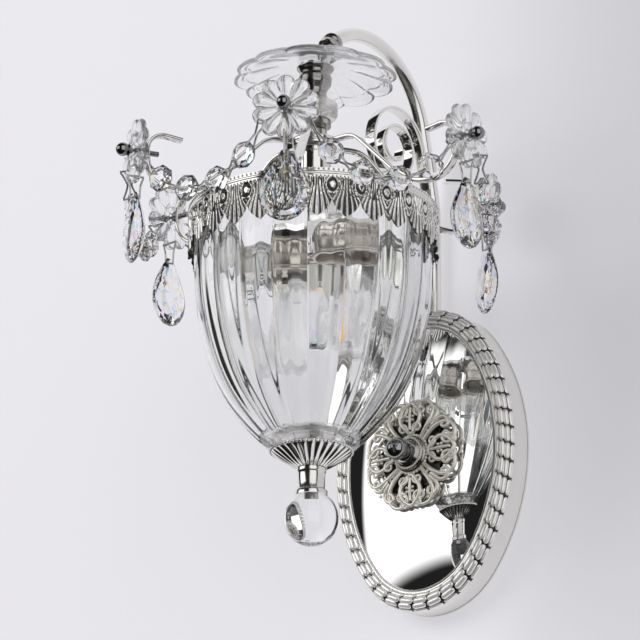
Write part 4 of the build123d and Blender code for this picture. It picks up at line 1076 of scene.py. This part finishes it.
def petal(share, facing, angle):
    """Carries a profile of (share of the way out, side) to a lobed rim and grooves between petals."""
    off = ((angle * PETALS / (2 * pi) + 0.5) % 1.0 - 0.5) * 2
    radius = share * lobe_reach(angle, PETALS, PETAL_CIRCLE, PETAL_RADIUS)
    groove = 1 - PETAL_GROOVE * abs(off) ** 2.2 * min(1, share * 1.6)
    rise = FLOWER_RISE * sqrt(max(0.0, 1 - share ** 3)) * groove * (0.72 + 0.28 * share)
    return radius, STATION_OUT + facing * (FLOWER_RIM + rise)


shares = [sin(k / FLOWER_ROWS * pi / 2) for k in range(1, FLOWER_ROWS + 1)]
front = [(0, STATION_OUT + FLOWER_MIDDLE)] + [(share, 1) for share in shares]
back = [(share, -1) for share in shares[::-1]] + [(0, STATION_OUT - FLOWER_MIDDLE)]
flower = turned(
    front + back, FLOWER_STEPS, lambda x, y, z: Vector((x, -z, STATION_HEIGHT - y)), False, petal, 0
)
ring_piece(
    "flowers", mesh_of("flower", flower), STRAPS, flower_glass, ["crystal_rosettes"], FIRST_STRAP,
    slot="cut_crystal", sharp=35,
)
pin_place = along_line((0, 0, STATION_HEIGHT), (0, -1, 0))
pin_profile = [
    (0, 91), (1.5, 91), (1.5, 97.2), (3.4, 97.5), (3.6, 99), (3.2, 99.9), (1.5, 99.95),
    (1.5, 107.4), (3.3, 107.6), (3.6, 108.3), (2.6, 108.9),
]
pin_profile += ball_head(3.8, 111.35, range(50, 171, 8))
pin = mesh_of("pin", turned(pin_profile, 40, pin_place, False, None, 0))
ring_piece("pins", pin, STRAPS, pin_metal, ["rosette_pins"], FIRST_STRAP)

# %% [markdown]
# Drops and beads are cut crystal, so every facet stays flat.
# A few facets carry a faint colour, the flash that real crystal makes by splitting light.

# %% Cut crystal
fire = Random(11)
FLASHES = (
    (1.0, 0.70, 0.40, 1), (0.47, 0.65, 1.0, 1), (1.0, 0.89, 0.48, 1), (0.56, 0.88, 0.8, 1),
    (0.87, 0.68, 1.0, 1),
)
LARGEST_FLASH = 25 * MM * MM


def brilliant(outline, rings, place):
    """Cuts both sides of a flat outline: rings of (scale, depth) end in a table."""
    count = len(outline)
    cx = sum(x for x, _ in outline) / count
    cy = sum(y for _, y in outline) / count
    points, faces = [], []
    for facing in (1, -1):
        starts = []
        for level, (scale, depth) in enumerate(rings):
            starts.append(len(points))
            for i in range(count):
                ax, ay = outline[i]
                if level % 2:
                    bx, by = outline[(i + 1) % count]
                    ax, ay = (ax + bx) / 2, (ay + by) / 2
                points.append(place(cx + (ax - cx) * scale, cy + (ay - cy) * scale, facing * depth))
        for level, (low, high) in enumerate(zip(starts, starts[1:])):
            for i in range(count):
                j, lead = (i + 1) % count, level % 2
                faces.append((low + i, low + j, high + (j if lead else i)))
                faces.append((high + i, high + j, low + (i if lead else j)))
        faces.append(tuple(range(starts[-1], starts[-1] + count)))
    back = len(rings) * count
    faces += [(i, (i + 1) % count, back + (i + 1) % count, back + i) for i in range(count)]
    return points, faces


def hang_crystals(kind, node, shape, angles, share):
    """The same cut shape at several angles, each on a body of its own; a share of its facets flash."""
    for number, angle in enumerate(angles, 1):
        mesh = mesh_of(kind, spun(shape, angle))
        colours = []
        for face in mesh.polygons:
            small = face.area < LARGEST_FLASH
            tint = fire.choice(FLASHES) if fire.random() < share and small else (1, 1, 1, 1)
            colours += list(tint) * face.loop_total
        mesh.color_attributes.new("flash", "FLOAT_COLOR", "CORNER").data.foreach_set("color", colours)
        place_piece(
            f"{kind}_{number}_cut", mesh, crystal, [f"{node}_{number}"], body=f"{kind}_{number}",
            slot="cut_crystal", sharp=0,
        )


STATIONS, BETWEEN = (-150, -90, -30, 30, 90, 150), (-120, -60, 0, 60, 120)
DROP_LENGTH, DROP_HALF, DROP_TOP = 39.5, 13.8, 112.4
side = [(0.13, 0), (0.52, 0.2), (0.9, 0.45), (1, 0.62), (0.9, 0.79), (0.55, 0.94), (0.16, 1)]
outline = [(DROP_HALF * w, DROP_TOP - DROP_LENGTH * h) for w, h in curve_through(side, 2)]
outline += mirrored(outline[::-1])
drop_rings = [(1, 0.35), (0.93, 1.5), (0.74, 3), (0.52, 3.95), (0.3, 4.2)]
drop = brilliant(outline, drop_rings, lambda x, z, out: Vector((x, -AXIS_OUT - STATION_OUT - out, z)))
hang_crystals("drop", "crystal_drop", drop, STATIONS, 0.16)

SWAG_OUT, SWAG_TOP, SWAG_HALF, STEEP, SHALLOW = 95.85, 129.3, 41.48, radians(51), radians(28)
BEAD_RADIUS, BEAD_RINGS = 7.577, [(1, 0.9), (0.88, 2.2), (0.64, 3.3)]
pitch = SWAG_HALF / (cos(STEEP) + cos(SHALLOW) + 0.5)
first = (-SWAG_HALF + pitch * cos(STEEP), SWAG_TOP - pitch * sin(STEEP))
second = (first[0] + pitch * cos(SHALLOW), first[1] - pitch * sin(SHALLOW))
chain = [(first, -39.5), (second, -14.0), ((-second[0], second[1]), 14.0), ((-first[0], first[1]), 39.5)]


def in_swag(x, z, out=0.0):
    """A point in the plane of the front swag."""
    return Vector((x, -AXIS_OUT - SWAG_OUT - out, z))


beads = []
for (cx, cz), tilt in chain:
    a = radians(tilt)
    beads.append(brilliant(
        round_section(BEAD_RADIUS, 8, pi / 8), BEAD_RINGS,
        lambda x, z, out: in_swag(cx + x * cos(a) - z * sin(a), cz + x * sin(a) + z * cos(a), out),
    ))
hang_crystals("swag", "swag_beads", joined(beads), BETWEEN, 0.14)

# %% [markdown]
# Bow-shaped wire clips join crystal to crystal.
# A clip is wide where it goes through a drilled edge and pinched between its two ends.

# %% Wire clips
CLIP_WIRE, CLIP_STEPS = 0.6, 18
BEAD_HOLE, PETAL_DEPTH, END_DEPTH, BEAD_DEPTH = 5.0, 4.6, 4.2, 4.4
OUTWARDS, SKEW = Vector((0, -1, 0)), radians(12)


def clip(first, second, across, first_depth, second_depth, pinch=0.75):
    """A closed bow of wire that passes through two holes, pinched by a share of its depth."""
    along = (second - first).normalized()
    side = along.cross(across).normalized()
    deep = side.cross(along)
    front, back = [], []
    for k in range(CLIP_STEPS + 1):
        t = k / CLIP_STEPS
        reach = first_depth + (second_depth - first_depth) * t
        depth = reach * (1 - pinch * (1 - abs(2 * t - 1) ** 1.3))
        front.append(first.lerp(second, t) + deep * depth)
        back.append(first.lerp(second, t) - deep * depth)
    return swept(front + back[::-1], side, round_section(CLIP_WIRE, 10), True)


hanger_ends = upright([(STATION_OUT, 121.9), (STATION_OUT, 109.0)])
hanger = mesh_of("hanger", clip(*hanger_ends, OUTWARDS, 4.7, 2.6, 0.2))
ring_piece("hangers", hanger, STRAPS, wire_metal, ["wire_loops"], FIRST_STRAP, sharp=60)
holes = []
for (cx, cz), tilt in chain:
    dx, dz = BEAD_HOLE * cos(radians(tilt)), BEAD_HOLE * sin(radians(tilt))
    holes.append((in_swag(cx - dx, cz - dz), in_swag(cx + dx, cz + dz)))
clips = []
for facing, hole in ((-1, holes[0][0]), (1, holes[-1][1])):
    across = Vector((facing * sin(SKEW), -cos(SKEW), 0))
    clips.append(clip(in_swag(facing * SWAG_HALF, SWAG_TOP), hole, across, PETAL_DEPTH, END_DEPTH))
for bead, next_bead in zip(holes, holes[1:]):
    clips.append(clip(bead[1], next_bead[0], OUTWARDS, BEAD_DEPTH, BEAD_DEPTH))
clips = joined(clips)
for number, angle in enumerate(BETWEEN, 1):
    add_piece(
        f"swag_{number}_clips", spun(clips, angle), wire_metal, [f"swag_links_{number}"],
        body=f"swag_{number}", sharp=60,
    )

# %% [markdown]
# The room: a pale wall, a floor out of view, and a dark studio with three large soft panels.
# The one to the front left is the white shape with dark edges that shows in the polish.
# The wall's paint gives off part of its own tone, which keeps the wall even.
# It darkens to the right and towards the top: a painted shade for the lamps' falloff and soft shadow.

# %% Stage
PANEL_EDGE = 0.03
PANELS = (
    (-38.5, 17.4, 22.5, 16.2, 1.4),
    (52, 8, 26, 36, 0.95),
    (-108, 10, 20, 34, 0.8),
)
STUDIO, BACKDROP = 0.015, 0.82
PALE_PAINT, PAINTED_WALL_SHADE, PAINT_GLOW = (0.82, 0.81, 0.845), (0.63, 0.625, 0.655), 0.6
WALL_BACK, ROOM_HALF, ROOM_DEPTH, FLOOR_LEVEL, CEILING = 0.0004, 4, -5, -1.6, 3


def panel(tree, view, azimuth, elevation, half_width, half_height):
    """A soft-edged rectangle of sky, seen from the object, as a mask."""
    ahead, across, above = [
        add_node(tree, "ShaderNodeVectorMath", {0: view, 1: axis}, 1, operation="DOT_PRODUCT")
        for axis in directions(radians(azimuth), radians(elevation))
    ]
    depth = ahead.math("MAXIMUM", ahead, 0.001)
    mask = ahead.above(0.01, 0.005)
    for off, half in ((across / depth, half_width), (above / depth, half_height)):
        mask = mask * (1 - off.math("ABSOLUTE", off).above(tan(radians(half)), PANEL_EDGE))
    return mask


world = bpy.data.worlds.new("studio")
bpy.context.scene.world = world
world.use_nodes = True
sky = world.node_tree
sky.nodes.clear()
view = add_node(sky, "ShaderNodeTexCoord")
light = STUDIO
for *box, strength in PANELS:
    light = panel(sky, view, *box) * strength + light
camera_ray = add_node(sky, "ShaderNodeLightPath")
level = camera_ray * (BACKDROP - light) + light
shader = add_node(sky, "ShaderNodeBackground", {"Color": (1, 0.995, 1.0, 1), "Strength": level})
add_node(sky, "ShaderNodeOutputWorld", {"Surface": shader})

paint, tree = new_material("wall_paint")
place = add_node(tree, "ShaderNodeTexCoord", out=3)
# Painted shade: darker to the right of x = 0.07 m, most at the top.
across = add_node(tree, "ShaderNodeSeparateXYZ", {0: place}).above(0.07, 0.09)
height = add_node(tree, "ShaderNodeSeparateXYZ", {0: place}, 2).above(0.0, 0.15)
tone = mix_colour(across * (height * 0.45 + 0.55), PALE_PAINT, PAINTED_WALL_SHADE)
matte = add_node(tree, "ShaderNodeBsdfDiffuse", {"Color": tone})
steady = add_node(tree, "ShaderNodeEmission", {"Color": tone, "Strength": 1.0})
mixed = add_node(tree, "ShaderNodeMixShader", {0: PAINT_GLOW, 1: matte, 2: steady})
seen_through = add_node(tree, "ShaderNodeBsdfTransparent")
behind = add_node(tree, "ShaderNodeNewGeometry", out=6)
finish_material(tree, add_node(tree, "ShaderNodeMixShader", {0: behind, 1: mixed, 2: seen_through}))


def painted(name, low, high):
    """A painted stage sheet across the room, from one (y, z) line to another."""
    mesh = bpy.data.meshes.new(name)
    corners = [(-ROOM_HALF, *low), (ROOM_HALF, *low), (ROOM_HALF, *high), (-ROOM_HALF, *high)]
    mesh.from_pydata(corners, [], [(0, 1, 2, 3)])
    mesh.materials.append(paint)
    return in_scene(name, mesh)


wall = painted("wall", (WALL_BACK, FLOOR_LEVEL), (WALL_BACK, CEILING))
floor = painted("floor", (ROOM_DEPTH, FLOOR_LEVEL), (WALL_BACK, FLOOR_LEVEL))
floor.visible_glossy = False
floor.visible_transmission = False


def soft_lamp(name, place, size, power):
    """A large soft lamp, turned to the object, that lights paint but doesn't show in the polish."""
    data = bpy.data.lights.new(name, "AREA")
    data.size = size
    data.energy = power
    lamp = in_scene(name, data)
    lamp.location = place
    lamp.rotation_euler = (-Vector(place)).to_track_quat("-Z", "Y").to_euler()
    lamp.visible_glossy = False
    lamp.visible_transmission = False


soft_lamp("left_lamp", (-1.6, -2.2, 1.2), 1.4, 44)
soft_lamp("right_lamp", (1.4, -1.8, 0.8), 1.4, 10)
print("stage", wall.name, floor.name, "and", len(bpy.data.lights), "lamps")
